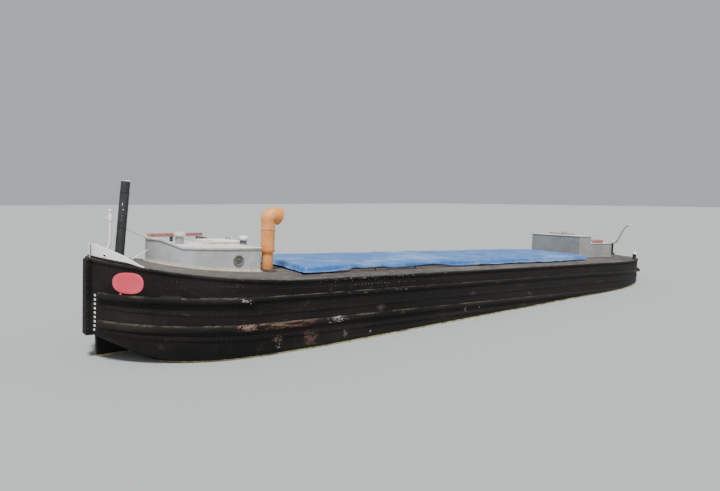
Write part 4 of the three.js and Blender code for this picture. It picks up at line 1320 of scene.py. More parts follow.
@dataclass
class Studio:
    """The photograph's view over a pale floor at the waterline."""

    focal_pixels: float = 571.18
    eye: tuple[float, float, float] = (11.869, 10.967, 3.0647)
    heading: float = -128.3194
    pitch: float = 4.9529
    level: float = 0.04397
    reach: float = 400.0
    sky: Colour = (0.94, 0.97, 1.0)
    sky_strength: float = 0.5
    suns: tuple[tuple[str, float, float, Colour], ...] = (("high_light", 4.9, 11.0, (-0.26, -0.36, -0.9)),
                                                          ("side_fill", 0.55, 60.0, (-0.25, -0.93, -0.25)))

    def camera(self) -> None:
        """Camera whose level leans in the barge's frame, because the barge floats trimmed by the stern."""
        lean = math.atan(self.level)
        up_axis = np.array([math.sin(lean), 0, math.cos(lean)])
        fore_axis = np.array([math.cos(lean), 0, -math.sin(lean)])
        turn, nod = math.radians(self.heading), math.radians(self.pitch)
        level = math.cos(turn) * fore_axis + math.sin(turn) * np.array([0, 1, 0])
        ahead = level * math.cos(nod) - up_axis * math.sin(nod)
        up = up_axis * math.cos(nod) + level * math.sin(nod)
        data = bpy.data.cameras.new("photo_view")
        data.sensor_width = SENSOR_WIDTH
        data.lens = self.focal_pixels / PHOTO_WIDTH * SENSOR_WIDTH
        data.clip_start, data.clip_end = 0.05, 2 * self.reach
        obj = bpy.data.objects.new("photo_view", data)
        bpy.context.scene.collection.objects.link(obj)
        pose = Matrix([[*row] for row in np.stack([np.cross(ahead, up), up, -ahead], 1)]).to_4x4()
        obj.matrix_world = Matrix.Translation(self.eye) @ pose
        bpy.context.scene.camera = obj

    def floor(self) -> None:
        """A square of the water plane, which leans in the barge's frame."""
        span = np.linspace(-self.reach / 2, self.reach / 2, 9)
        x, y = np.meshgrid(span, span, indexing="ij")
        obj = Surface().grid(np.stack([x, y, WATER.height(ORIGIN - x)], -1)).build("ground", level=True)
        obj.data.materials.append(GROUND.material())

    def light(self) -> None:
        """An even pale surround, a broad high light ahead of the barge and a soft fill from one side."""
        world = bpy.data.worlds.new("surround")
        world.use_nodes = True
        world.node_tree.nodes["Background"].inputs["Color"].default_value = (*self.sky, 1.0)
        world.node_tree.nodes["Background"].inputs["Strength"].default_value = self.sky_strength
        bpy.context.scene.world = world
        for name, energy, spread, aim in self.suns:
            data = bpy.data.lights.new(name, "SUN")
            data.energy, data.angle = energy, math.radians(spread)
            obj = bpy.data.objects.new(name, data)
            obj.rotation_euler = Vector(aim).to_track_quat("-Z", "Y").to_euler()
            bpy.context.scene.collection.objects.link(obj)

    def build(self) -> None:
        """Makes camera, floor and light."""
        self.camera()
        self.floor()
        self.light()


# Hull


@dataclass
class ShellPlating:
    """The riveted skin from deck edge to keel, its laps, rivets, bulkheads and draught marks."""

    thickness: float = 0.012
    side_rows: int = 18
    bilge_rows: int = 12
    bottom_rows: int = 6
    dent: float = 0.0022
    rivet: float = 0.011
    rivet_height: float = 0.006
    pitch: float = 0.085
    laps: tuple[Row, ...] = ((1.235, 0.007), (0.8, 0.013))
    lap_depth: float = 0.085
    butts: tuple[float, ...] = (2.9, 5.3, 7.7, 10.1, 12.5, 14.9)
    bulkheads: tuple[float, ...] = (1.0, 3.61, 14.11, 17.0)
    marks: int = 9
    mark_foot: float = 0.812
    mark_pitch: float = 0.077

    def girth(self, aft: Array) -> tuple[Array, Array]:
        """Half section at each station, from the deck edge down the side, round the bilge and in to the keel.

        Args:
            aft: stations.

        Returns:
            Breadths and heights, by station and place round the girth.
        """
        place = aft[:, None]
        edge, side = FORM.edge_z(place), FORM.half(place)
        base, foot, rise = FORM.bottom_half(place), FORM.bottom_z(place), FORM.bilge_rise(place)
        down = np.linspace(0, 1, self.side_rows)[None]
        z_side = edge - down * (edge - foot - rise)
        dents = ripples(place * np.ones_like(z_side), z_side * 1.2, 1.1, seed=4)
        calm = (smooth(down * 6) * smooth((1 - down) * 6) * smooth(place / 0.8)
                * smooth((FORM.length - place) / 0.8))
        y_side = side - self.dent * (1 + dents) * calm
        arc = np.linspace(np.pi / 2, 0, self.bilge_rows + 1)[None, 1:]
        y_arc, z_arc = base + (side - base) * np.sin(arc), foot + rise * (1 - np.cos(arc))
        inward = np.linspace(0, 1, self.bottom_rows + 1)[None, 1:]
        y_flat, z_flat = base * (1 - inward), foot * np.ones_like(inward)
        return np.concatenate([y_side, y_arc, y_flat], 1), np.concatenate([z_side, z_arc, z_flat], 1)

    def skin(self) -> None:
        """One sheet from the port deck edge round the keel to the starboard one, thickened inward."""
        aft = np.concatenate([FORM.spaced(0.055, 0, 3.2)[:-1], FORM.spaced(0.11, 3.2, 14.2)[:-1],
                              FORM.spaced(0.06, 14.2)])
        y, z = self.girth(aft)
        port, starboard = spots(aft[:, None], y, z), spots(aft[:, None], -y, z)[:, -2::-1]
        piece("shell_plating", Surface().grid(np.concatenate([port, starboard], 1)), HULL, sharp=50,
              wall=-self.thickness, stands_for=("hull_bow", "hull_midship", "hull_stern"))

    def lap_z(self, height: float, aft: Array) -> Array:
        """Height of a lap's upper edge, which rises to the stem as a parabola."""
        return height + 0.1 * np.clip(1 - aft / 2.8, 0, 1) ** 2

    def bands(self) -> None:
        """Lapped plate edges: flat bars that stand off the skin by a plate's thickness, round both sides."""
        surface = Surface()
        aft = FORM.spaced(0.12, 0.12, 18.3)
        for side in Side:
            for height, out in self.laps:
                offsets = ((-0.004, 0), (out, 0.004), (out, self.lap_depth - 0.004), (-0.004, self.lap_depth))
                surface.rings(capped(np.stack([FORM.on_side(aft, self.lap_z(height, aft) - drop, push, side)
                                               for push, drop in offsets], 1)))
        piece("plate_laps", surface, HULL, sharp=25)

    def rivets(self) -> None:
        """Rivet heads in rows along the deck edge and the laps, and down the butts."""
        surface = Surface()

        def row(aft: Array, z: Array, out: float, side: Side) -> None:
            """Adds rivets at places on the skin."""
            surface.rings(studs(FORM.on_side(aft, z, out, side), FORM.outward(aft, side), self.rivet,
                                self.rivet_height))

        aft = FORM.spaced(self.pitch, 0.16, 18.45)
        levels = np.concatenate([np.arange(low, high, self.pitch) for low, high in
                                 ((0.34, 0.7), (0.86, 1.14), (1.27, 1.36), (1.52, 1.6))])
        for side in Side:
            for drop in (0.062, 0.15):
                row(aft, FORM.edge_z(aft) - drop, 0.0, side)
            for height, out in self.laps:
                row(aft, self.lap_z(height, aft) - 0.042, out, side)
            for butt in self.butts:
                for line in (-0.035, 0.035):
                    row(np.full(len(levels), butt + line), levels, 0.0, side)
        piece("shell_rivets", surface, RIVETS, sharp=60)

    def walls(self) -> None:
        """Bulkheads: flat plates that fill the section between the bottom and the deck."""
        surface = Surface()
        rise, across = np.linspace(0, 1, 24)[:, None], np.linspace(-1, 1, 31)[None]
        for place in self.bulkheads:
            aft = np.full((1, 1), place)
            foot, top = FORM.bottom_z(aft) + 0.014, FORM.edge_z(aft) - 0.012
            z = foot + (top - foot) * rise
            front = spots(place, (FORM.side_y(aft, z) - 0.014) * across, z)
            surface.slab(front, front - [0.01, 0, 0])
        piece("bulkheads", surface, COAMING, sharp=30)

    def draught_marks(self) -> None:
        """Short white bars up the bow, on both sides of the stem."""
        surface = Surface()
        aft, levels = np.linspace(0.036, 0.05, 4)[None], np.linspace(0, 0.034, 3)[:, None]
        for side in Side:
            for step in range(self.marks):
                z = self.mark_foot + step * self.mark_pitch + levels
                surface.slab(*(FORM.on_side(aft, z, out, side) for out in (0.004, -0.002)))
        piece("draught_marks", surface, WHITE, sharp=30)

    def doublers(self) -> None:
        """A plate bent over the upper strake at each shoulder of the bow."""
        surface = Surface()
        aft, levels = np.linspace(0.83, 1.11, 12)[None], np.linspace(1.385, 1.6, 14)[:, None]
        bulge = 0.012 + 0.058 * np.sqrt(np.clip(1 - ((levels - 1.448) / 0.072) ** 2, 0, 1))
        for side in Side:
            surface.slab(*(FORM.on_side(aft, levels, out, side) for out in (bulge, bulge - 0.01)))
        piece("shoulder_doublers", surface, HULL, sharp=35)

    def build(self) -> None:
        """Makes the skin and everything on it."""
        self.skin()
        self.doublers()
        self.bands()
        self.rivets()
        self.walls()
        self.draught_marks()


@dataclass
class DeckPlating:
    """The crowned deck with its openings, the gunwale bar round it and plate straps."""

    thickness: float = 0.01
    lip: float = 0.06
    straps_at: tuple[Row, ...] = ((0.75, 0.0), (3.16, 0.0), (17.2, 0.0), (5.6, 1.47), (7.9, 1.47),
                                  (10.2, 1.47), (12.5, 1.47), (15.6, 0.93))

    def openings(self) -> Array:
        """Fore end, after end and half width of the three openings, inside their coamings."""
        rows = ((ForeCabin, ForeCabin.wall_inset + self.lip), (HoldCover, self.lip), (EngineCasing, self.lip))
        return np.array([(part.fore + inset, part.aft - inset, part.half - inset) for part, inset in rows])

    def plate(self) -> None:
        """The deck sheet, less its openings: rows across that keep to the openings' edges."""
        fore, back, half = self.openings().T
        centre = ForeCabin.fore + ForeCabin.round
        reach = centre - fore[0]
        nose = fore[0] + reach * (1 - np.cos(np.linspace(0, np.pi / 2, 26)))
        aft = np.unique(np.round(np.concatenate([FORM.spaced(0.12), nose, fore, back]), 6))
        front = half[0] * np.sqrt(np.clip(1 - ((centre - aft) / reach) ** 2, 0, 1))
        stops = np.stack([np.maximum(fore, centre), back], -1).ravel()
        line = np.where(aft < centre, front, np.interp(aft, stops, np.repeat(half, 2)))
        tail = np.clip((aft - back[-1]) / 1.2, 0, 1)
        line = np.minimum(line * (1 - tail) + 1e-9, FORM.half(aft) * 0.9)
        inside = np.any([(aft > a - 1e-9) & (aft < b - 1e-9) for a, b in zip(fore, back)], axis=0)
        inner = np.linspace(-1, 1, 9)[None] * line[:, None]
        port = line[:, None] + np.linspace(0, 1, 9)[None, 1:] * (FORM.half(aft) - line)[:, None]
        y = np.concatenate([-port[:, ::-1], inner, port], 1)
        keep = np.ones((len(aft) - 1, y.shape[1] - 1), bool)
        keep[np.ix_(inside[:-1], np.arange(8, 16))] = False
        nodes = ("fore_deck", "side_deck_port", "side_deck_starboard", "after_deck")
        piece("deck_sheet", Surface().grid(FORM.on_deck(aft[:, None], y), keep=keep), DECK, stands_for=nodes,
              sharp=38, level=True, wall=-self.thickness)

    def gunwale(self) -> None:
        """A flat half-round bar round the deck edge: its section carried along the outline."""
        turn = np.linspace(-0.5, 1.5, 11) * np.pi / 2
        section = np.stack([0.012 + 0.012 * np.cos(turn), -0.022 + 0.026 * np.sin(turn)], -1)
        section = np.concatenate([section, [[-0.05, 0.004], [-0.05, -0.004], [-0.002, -0.048]]])
        aft = FORM.spaced(0.07)
        rails = [bar(FORM.on_edge(aft, side, 0.002), section, FORM.outward(aft, side)) for side in Side]
        piece("gunwale_bar", Surface(*rails), EDGE_BAR)

    def straps(self) -> None:
        """Seam straps across the fore and after decks and along the side decks: thin strips on the crown."""
        surface = Surface()
        for place, inner in self.straps_at:
            for side in Side:
                y = np.linspace(inner, float(FORM.half(place)) - 0.03, 16)
                surface.rings(bar(FORM.on_deck(place, side.value * y), strap(0.03, 0.004), heading(0)))
        piece("deck_straps", surface, DECK, sharp=30)

    def build(self) -> None:
        """Makes the deck and its trim."""
        self.plate()
        self.gunwale()
        self.straps()


@dataclass
class RubbingStrake:
    """One half-round bar along both sides, heavy where it takes the wear.

    The section is a half round. Its height, projection and drop below the top line follow the run of
    (aft, height, out, drop).
    """

    name: str
    top: float
    rise: float
    run: tuple[Row, ...]
    finish: Finish
    start: float = 0.0826

    def build(self) -> None:
        """Sweeps the section round both sides of the barge."""
        stops, heights, outs, drops = np.array(self.run).T
        turn = np.linspace(0, np.pi, 15)
        aft = np.unique(np.concatenate([FORM.spaced(0.06, self.start), stops[stops > self.start]]))
        height, out = (np.interp(aft, stops, row)[:, None] for row in (heights, outs))
        section = np.stack([out * bent(np.sin(turn), 0.7), -height * (0.5 - 0.5 * np.cos(turn))], -1)
        back = np.stack([np.full_like(height, -0.02) * [1, 1], -height * [1, 0]], -1)
        section = np.concatenate([section, back], 1)
        z = self.top + self.rise * np.clip(1 - aft / FORM.sheer_length, 0, 1) ** 2
        z = z - np.interp(aft, stops, drops)
        for side in Side:
            outward = FORM.outward(aft, side)
            rings = sweep(spots(aft, side.value * FORM.half(aft), z), section, outward)
            first = 0.35 * rings[:1] + 0.65 * rings[:1].mean(1, keepdims=True)
            first[0, :, :2] -= outward[0, :2] * 0.012
            rings = capped(np.concatenate([first, rings, rings[-1:]]))
            piece(f"{self.name}_bar_{side.word}", rings, self.finish, sharp=45,
                  stands_for=(f"{self.name}_strake_{side.word}",))


STRAKES = (
    RubbingStrake("upper", 1.487, 0.032, (
        (0.02, 0.13, 0.06, 0.0), (2.25, 0.13, 0.06, 0.0), (2.35, 0.09, 0.03, 0.0), (13.5, 0.09, 0.03, 0.0),
        (16.9, 0.09, 0.03, 0.049), (17.3, 0.105, 0.1, 0.055), (18.0, 0.105, 0.11, 0.065),
        (18.6, 0.105, 0.11, 0.065)), BAR),
    RubbingStrake("lower", 1.001, 0.033, (
        (0.02, 0.14, 0.045, 0.0), (3.6, 0.12, 0.045, 0.0), (6.0, 0.115, 0.042, 0.0), (16.0, 0.1, 0.04, 0.05),
        (18.6, 0.08, 0.06, 0.06)), LOW_BAR),
)


@dataclass
class Backbone:
    """Stem bar, forefoot and deadwood, with the rivets of the stem."""

    rivet_pitch: float = 0.16
    rivet_aft: float = -0.03

    def build(self) -> None:
        """Dresses the bars and adds two rows of stem rivets."""
        for node, edge in (("stem_post", 0.012), ("forefoot", 0.008), ("deadwood", 0.006)):
            dress(HULL, edge, node)
        low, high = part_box("stem_post")
        z = np.arange(low.z + 0.12, high.z - 0.06, self.rivet_pitch)
        rows = [(spots(self.rivet_aft, side.value * high.y, z), side.out) for side in Side]
        heads = [studs(row, out, 0.013, 0.008, 8) for row, out in rows]
        piece("stem_rivets", Surface(*heads), RIVETS, sharp=60)


@dataclass
class BowTrim:
    """White bulwark plates, blank oval boards and the small fairlead holes of the bow, whose openings are
    dark discs of painted shade.
    """

    inset: float = 0.03
    thick: float = 0.014
    turns: tuple[float, ...] = (3, 9, 17, 25, 31, 38)
    heights: tuple[float, ...] = (0.262, 0.263, 0.226, 0.181, 0.122, 0.011)
    bar_height: float = 0.048
    fairlead_aft: float = 0.115
    board_turn: float = 31.5
    board_z: float = 1.715
    board_width: float = 0.58
    board_height: float = 0.362

    def round_bow(self, turn: Array | float) -> Array | float:
        """Distance aft at an angle round the bow, in degrees."""
        return FORM.bow_length * (1 - np.cos(np.radians(turn)))

    def bulwark(self, side: Side) -> None:
        """A plate inside the deck edge whose top line sweeps down aft, with a rolled top edge.

        Args:
            side: port or starboard.
        """
        turn = np.linspace(self.turns[0], self.turns[-1], 60)
        aft = self.round_bow(turn)
        rise = np.pad(np.interp(turn, self.turns, self.heights), 4, mode="edge")
        rise = np.convolve(rise, np.ones(9) / 9, mode="valid")
        up = np.linspace(0, 1, 12)
        flat = np.stack([np.zeros(12)[None] * rise[:, None], up[None] * rise[:, None]], -1)
        roll = np.linspace(0, np.pi, 7)[1:]
        lip = np.stack([self.thick / 2 * (1 - np.cos(roll)), self.thick / 2 * np.sin(roll)], -1)
        lip = lip[None] + np.stack([np.zeros_like(rise), rise], -1)[:, None]
        back = np.stack([np.full((len(rise), 11), self.thick), up[None, -2::-1] * rise[:, None]], -1)
        plate = bar(FORM.on_edge(aft, side, -0.004, self.inset), np.concatenate([flat, lip, back], 1),
                    -FORM.outward(aft, side))
        piece(f"bulwark_plate_{side.word}", plate, WHITE, sharp=50, stands_for=(f"bow_bulwark_{side.word}",))

    def foot_bar(self, side: Side) -> None:
        """A black flat bar along the bulwark's foot, on its outer face.

        Args:
            side: port or starboard.
        """
        aft = self.round_bow(np.linspace(self.turns[0], self.turns[-1], 50))
        sunk = self.bar_height * 0.8 * smooth(np.linspace(-3, 1, 50))
        tall = self.bar_height
        section = np.array([[-0.004, -0.006], [0.009, -0.006], [0.011, 0.004], [0.01, tall - 0.006],
                            [0.006, tall], [-0.004, tall]])
        shape = bar(FORM.on_edge(aft, side, -sunk, self.inset), section, FORM.outward(aft, side))
        piece(f"bulwark_foot_bar_{side.word}", shape, BAR, sharp=45)

    def fairlead(self, side: Side) -> None:
        """A small oval hole low in the bulwark, with a white lip round it; the opening is a thin dark disc of
        painted shade.

        Args:
            side: port or starboard.
        """
        foot = FORM.on_edge(self.fairlead_aft, side, 0.098, self.inset - 0.001)
        out = FORM.outward(self.fairlead_aft, side)
        turn = full_turn(32)[:, None]
        path = foot + np.cos(turn) * 0.042 * np.cross(UP, out) * side.value + np.sin(turn) * 0.024 * UP
        lip = sweep(path, circle(0.007, 10), unit(path - foot), out)
        piece(f"fairlead_lip_{side.word}", looped(lip), WHITE, sharp=50)
        # No hole is cut in the plate: a thin dark disc inside the lip is painted shade for the opening.
        disc = foot - 0.001 * out + np.linspace(0, 1, 4)[:, None, None] * (path - foot)[None]
        piece(f"fairlead_hole_{side.word}", np.concatenate([disc + 0.002 * out, disc[::-1]]), POST, sharp=50)

    def board(self, side: Side) -> None:
        """An oval plate draped on the skin, and a tab under it: radius by angle, a little squared.

        Args:
            side: port or starboard.
        """
        middle = self.round_bow(self.board_turn)
        turn = full_turn(72)[None]
        share = np.array([0, 0.35, 0.7, 0.93, 0.98, 1.0, 1.0])[:, None]
        out = np.array([0.016, 0.016, 0.016, 0.016, 0.014, 0.009, 0.0005])[:, None]
        squared = (np.abs(np.cos(turn)) ** 2.5 + np.abs(np.sin(turn)) ** 2.5) ** (-1 / 2.5)
        across = share * squared * np.cos(turn) * self.board_width / 2
        z = self.board_z + share * squared * np.sin(turn) * self.board_height / 2
        aft = np.clip(middle + across * FORM.outward(middle, Side.PORT)[1], 0.02, None)
        rings = FORM.on_side(aft, z, out, side)
        base = FORM.on_side(aft[-1:], z[-1:], out[-1], side)
        shut = np.broadcast_to(base.mean(1, keepdims=True), base.shape)
        tab = middle - 0.095 + np.linspace(-0.012, 0.012, 4)[None]
        low = self.board_z - self.board_height / 2
        levels = np.linspace(low + 0.01, low - 0.042, 5)[:, None]
        surface = Surface(np.concatenate([rings, base, shut]))
        surface.slab(*(FORM.on_side(tab, levels, push, side) for push in (0.008, 0.0005)))
        piece(f"oval_board_{side.word}", surface, SIGN, sharp=50, stands_for=(f"number_board_{side.word}",))

    def build(self) -> None:
        """Makes both sides."""
        for side in Side:
            self.bulwark(side)
            self.foot_bar(side)
            self.fairlead(side)
            self.board(side)


@dataclass
class Foredeck:
    """Leaning towing post, jackstaff and the small gear between them."""

    post_aft: float = 0.522
    post_radius: float = 0.083
    post_length: float = 1.532
    post_sink: float = 0.08
    post_lean: float = 4.2
    staff_aft: float = 0.37
    staff_radius: float = 0.026
    staff_length: float = 0.893
    staff_foot: float = 0.27

    def post(self) -> None:
        """The post is turned, then dented by ripples; bands, a bracket and a ragged cap go with it."""
        lean = math.radians(self.post_lean)
        axis = np.array([-math.sin(lean), 0, math.cos(lean)])
        foot = FORM.on_deck(self.post_aft, 0.0, -self.post_sink)
        height = np.concatenate([np.linspace(0, self.post_length - 0.034, 60), [self.post_length - 0.02]])
        radius = self.post_radius - 0.003 * smooth((height - 1.3) / 0.03)
        radius = radius * (1 + 0.012 * ripples(height * 3, height * 0, 0.9, seed=9))
        radius[-1] -= 0.01
        shaft = lathe(np.stack([radius, height], -1), foot, 44, axis)
        wobble = ripples(shaft[..., 2] * 2.0, np.arctan2(shaft[..., 1], shaft[..., 0] - foot[0]), 0.8, seed=2)
        surface = Surface(shaft + (shaft - shaft.mean(1, keepdims=True)) * 0.015 * wobble[..., None])
        for low, size, high in ((0.1, 0.098, 0.13), (0.66, 0.0875, 0.672), (1.3, 0.0875, 1.314)):
            face = [[0.05, low], [size - 0.006, low], [size, low + 0.004]]
            band = face + [[size, high], [size - 0.006, high + 0.004], [0.05, high + 0.004]]
            surface.rings(lathe(band, foot, 44, axis))
        piece("leaning_post", surface, POST, stands_for=("towing_post",))
        bits = Surface()
        draw = np.random.default_rng(12)
        top = foot + axis * (self.post_length - 0.016)
        for turn in np.linspace(0, 360, 9, endpoint=False):
            spot = top + 0.056 * heading(turn) + axis * draw.uniform(-0.006, 0.003)
            size = draw.uniform((0.01, 0.008, 0.006), (0.022, 0.015, 0.015))
            bits.rings(block(spot, size, turned(turn), edge=0.6, sides=12))
        bracket = foot + axis * 0.985 + heading(75) * 0.082
        bits.rings(block(bracket, (0.007, 0.011, 0.006), turned(75), 0.5, 12))
        out = heading(62)
        hook = spline([[0, 0], [0.016, 0.006], [0.022, 0.026], [0.01, 0.042], [0.002, 0.038]], 18)
        hook = foot + axis * 1.06 + out * 0.08 + hook[:, :1] * out + hook[:, 1:] * axis
        piece("post_scraps", bits.rings(tube(hook, 0.005, 10, np.cross(out, axis))), WHITE)

    def staff(self) -> None:
        """A white pipe that curls up from the deck, with a thicker sleeve, a knob and a small lever."""
        root, foot = FORM.on_deck(self.staff_foot, 0.0), FORM.on_deck(self.staff_aft, 0.0)
        r, length, stand = self.staff_radius, self.staff_length, self.staff_aft
        knots = ((self.staff_foot, -0.01), (self.staff_foot + 0.006, 0.05), (0.305, 0.125), (0.346, 0.205),
                 (stand - 0.002, 0.3), (stand, 0.38), (stand, 0.44))
        bend = spline([(at(aft), 0, root[2] + lift) for aft, lift in knots], 60)
        straight = spots(stand, 0, np.linspace(bend[-1, 2] + 0.01, foot[2] + length - 0.26, 16))
        surface = Surface(tube(np.concatenate([bend, straight]), r, 24))
        profile = ((0, 0.27), (0, 0.232), (0.007, 0.224), (0.008, 0.21), (0.008, 0.128), (0.006, 0.116),
                   (0, 0.108), (0, 0.054), (0.009, 0.04), (0.011, 0.024), (0.006, 0.008), (-0.01, 0))
        surface.rings(lathe([(r + more, length - below) for more, below in profile], foot, 28))
        flange = [[0.05, -0.012], [0.052, 0.008], [0.048, 0.013], [r + 0.004, 0.016], [r, 0.03]]
        surface.rings(lathe(flange, root, 28))
        lever = spline([[0, 0.01, 0], [0.02, -0.03, 0.002], [0.05, -0.07, 0.006], [0.07, -0.095, 0.01]], 12)
        surface.rings(tube(foot + [0, 0, length - 0.165] + lever, 0.006, 10, UP))
        piece("white_staff", surface, WHITE, stands_for=("jackstaff",))

    def stays(self) -> None:
        """A thin wire from the post to the cabin's brow, and a white rod that leans on the cabin."""
        wire = np.linspace((at(0.645), 0, 2.6), (at(1.046), 0, 2.42), 12)
        wire[:, 2] -= 0.012 * np.sin(np.linspace(0, np.pi, 12))
        piece("brow_wire", tube(wire, 0.003, 8), IRON)
        rod = np.linspace(FORM.on_deck(0.74, 0.02, 0.004), (at(1.044), 0.02, 2.205), 10)
        piece("white_rod", tube(rod, 0.008, 10), WHITE)

    def build(self) -> None:
        """Makes the fore deck's gear."""
        self.post()
        self.staff()
        self.stays()


@dataclass
class ForeCabin:
    """The fore cabin's trunk, roof, hatch, portholes and vents."""

    fore: float = 1.05
    round: float = 1.3
    aft: float = 2.87
    half: float = 1.1
    wall_inset: float = 0.03
    top: float = 2.286
    brow_top: float = 2.423
    brow_aft: float = 1.14
    brow_foot: float = 1.42
    roof: float = 0.02
    corner: float = 0.03
    sheet: float = 0.008
    seam_aft: float = 2.03
    porthole_aft: float = 2.39
    porthole_z: float = 2.06

    def roof_z(self, aft: Array) -> Array:
        """Height of the roof's underside: level, with a ramp up to the brow in front."""
        climb = np.clip((self.brow_foot - aft) / (self.brow_foot - self.brow_aft), 0, 1)
        return self.top + (self.brow_top - self.top) * climb

    def plan(self, inset: float = 0.0) -> Array:
        """Closed plan of the trunk: half an ellipse in front, straight sides, rounded after corners.

        Args:
            inset: distance inside the outer face.

        Returns:
            Points as distance aft and y, once round.
        """
        centre, half, reach = self.fore + self.round, self.half - inset, self.round - inset
        back, r = self.aft - inset, max(self.corner - inset, 0.004)
        turn, bend = np.linspace(-np.pi / 2, np.pi / 2, 81), np.linspace(0, np.pi / 2, 7)
        nose = np.stack([centre - reach * np.cos(turn), half * np.sin(turn)], -1)
        side = np.stack([np.linspace(centre, back - r, 12)[1:-1], np.full(10, half)], -1)
        port = np.stack([back - r + r * np.sin(bend), half - r + r * np.cos(bend)], -1)
        across = np.stack([np.full(20, back), np.linspace(half - r, r - half, 22)[1:-1]], -1)
        return np.concatenate([nose, side, port, across, port[::-1] * [1, -1], side[::-1] * [1, -1]])

    def ring(self, inset: float, height: Array) -> Array:
        """Points of the plan at heights over the base."""
        return spots(*self.plan(inset).T, height)

    def walls(self) -> None:
        """The wall sheet from deck to roof, slightly quilted between its stiffeners."""
        outer, inner = self.plan(), self.plan(self.sheet)
        foot_out, foot_in = (FORM.deck_z(*plan.T) - 0.004 for plan in (outer, inner))
        top_out, top_in = (self.roof_z(plan[:, 0]) for plan in (outer, inner))
        bulge = 0.003 * ripples(outer[:, 0] * 1.3, outer[:, 1] * 1.3, 0.8, seed=21)
        rows = [self.ring(0.0, foot_out + (top_out - foot_out) * t)
                + np.stack([bulge, np.zeros_like(bulge), 0 * bulge], -1) * math.sin(math.pi * t)
                for t in np.linspace(0, 1, 16)]
        rows += [self.ring(self.sheet, top_in), self.ring(self.sheet, foot_in), self.ring(0.0, foot_out)]
        piece("trunk_walls", np.stack(rows), CABIN, stands_for=("cabin_coaming",))

    def trims(self) -> None:
        """Foot angle on the deck, top bead under the roof and one upright seam strap on each side."""
        plan = self.plan()
        ahead = unit(np.roll(plan, -1, 0) - np.roll(plan, 1, 0))
        out = np.stack([ahead[:, 1], ahead[:, 0], np.zeros(len(plan))], -1)
        spokes = spots(*plan.T, 0)[:, :2] - [at(2.0), 0]
        out = np.where((out[:, :2] * spokes).sum(1)[:, None] < 0, -out, out)
        angle = [[0.0, 0.045], [0.007, 0.043], [0.008, 0.01], [0.042, 0.009], [0.044, 0.0], [0.0, -0.004]]
        foot = self.ring(0.0, FORM.deck_z(*plan.T))
        piece("trunk_foot_angle", looped(sweep(foot, angle, out)), CREAM, sharp=35)
        bead = circle(0.014, 12) * [0.8, 1.0] + [0.006, 0]
        surface = Surface(looped(sweep(self.ring(0.0, self.roof_z(plan[:, 0]) - 0.012), bead, out)))
        aft = self.seam_aft
        y = self.half * math.sqrt(1 - ((self.fore + self.round - aft) / self.round) ** 2)
        z = np.linspace(FORM.on_deck(aft, self.half)[2] + 0.04, self.roof_z(aft) - 0.02, 10)
        for side in Side:
            face = np.array([0.24, side.value * 0.97, 0.0])
            path = spots(aft, side.value * y, z)
            surface.rings(bar(path, strap(0.022, 0.005), np.cross(UP, face), face))
        piece("trunk_beads", surface, CABIN)

    def portholes(self) -> None:
        """Rim, bolts and dusty glass, turned about the wall's normal."""
        profile = [[0.076, 0.006], [0.078, 0.014], [0.084, 0.018], [0.1, 0.018], [0.11, 0.012],
                   [0.112, 0.002], [0.112, -0.004], [0.074, -0.012]]
        turn = np.radians(np.arange(0, 360, 60) + 20)
        for side in Side:
            face = np.array([at(self.porthole_aft), side.value * self.half, self.porthole_z])
            around = 0.094 * np.cos(turn), np.full(6, side.value * 0.018), 0.094 * np.sin(turn)
            bolts = studs(face + np.stack(around, -1), side.out, 0.008, 0.006, 8)
            surface = Surface(looped(lathe(profile, face, 48, side.out)[1:-1]), bolts)
            piece(f"porthole_rim_{side.word}", surface, GREY_RIM, stands_for=(f"porthole_{side.word}",))
            pane = [[0.078, -0.006], [0.077, 0.002], [0.04, 0.0045], [0.015, 0.005]]
            piece(f"porthole_glass_{side.word}", lathe(pane, face, 40, side.out), GLASS)

    def vents(self) -> None:
        """Vents on the roof and behind the trunk: a turned stem, and a domed cap with a rolled rim.

        Each row gives the node, aft, y, whether it stands on the roof, the finishes of stem and cap, the
        stem's radius and height, and the cap's radii and heights.
        """
        rows = (("mushroom_vent_large", 1.71, -0.13, True, CASING_GREY, PALE, 0.082, 0.15,
                 ((0.106, 0.151), (0.112, 0.158), (0.116, 0.166), (0.116, 0.196), (0.11, 0.212),
                  (0.095, 0.228), (0.06, 0.238), (0.02, 0.243))),
                ("mushroom_vent_small", 1.8, -0.83, True, POST, POST, 0.034, 0.086,
                 ((0.039, 0.092), (0.041, 0.104), (0.038, 0.116), (0.028, 0.124), (0.01, 0.128))),
                ("deck_vent", 3.29, -0.5, False, CASING_GREY, WHITE, 0.074, 0.492,
                 ((0.098, 0.498), (0.103, 0.506), (0.103, 0.552), (0.099, 0.568), (0.08, 0.588), (0.045, 0.6),
                  (0.012, 0.605))))
        for node, aft, y, on_roof, paint, cap_paint, radius, height, cap in rows:
            foot = spots(aft, y, self.top + self.roof) if on_roof else FORM.on_deck(aft, y)
            stem = [[radius + 0.012, -0.006], [radius + 0.012, 0.01], [radius, 0.014], [radius, height]]
            piece(f"{node}_stem", lathe(stem, foot), paint)
            head = [[radius - 0.01, height - 0.004], *cap]
            piece(f"{node}_cap", lathe(head, foot, 44), cap_paint, stands_for=(node,))

    def hatch(self) -> None:
        """The lid's handle and hinge straps, which go with the lid."""
        low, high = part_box("cabin_hatch")
        fittings = Surface(lifting_handle(0.09, [low.x + 0.1, 0, high.z]))
        for y in (-0.26, 0.26):
            fittings.rings(block((high.x - 0.07, y, high.z + 0.003), (0.07, 0.022, 0.004)))
        piece("cabin_lid_fittings", fittings, IRON, Body.CABIN_LID)

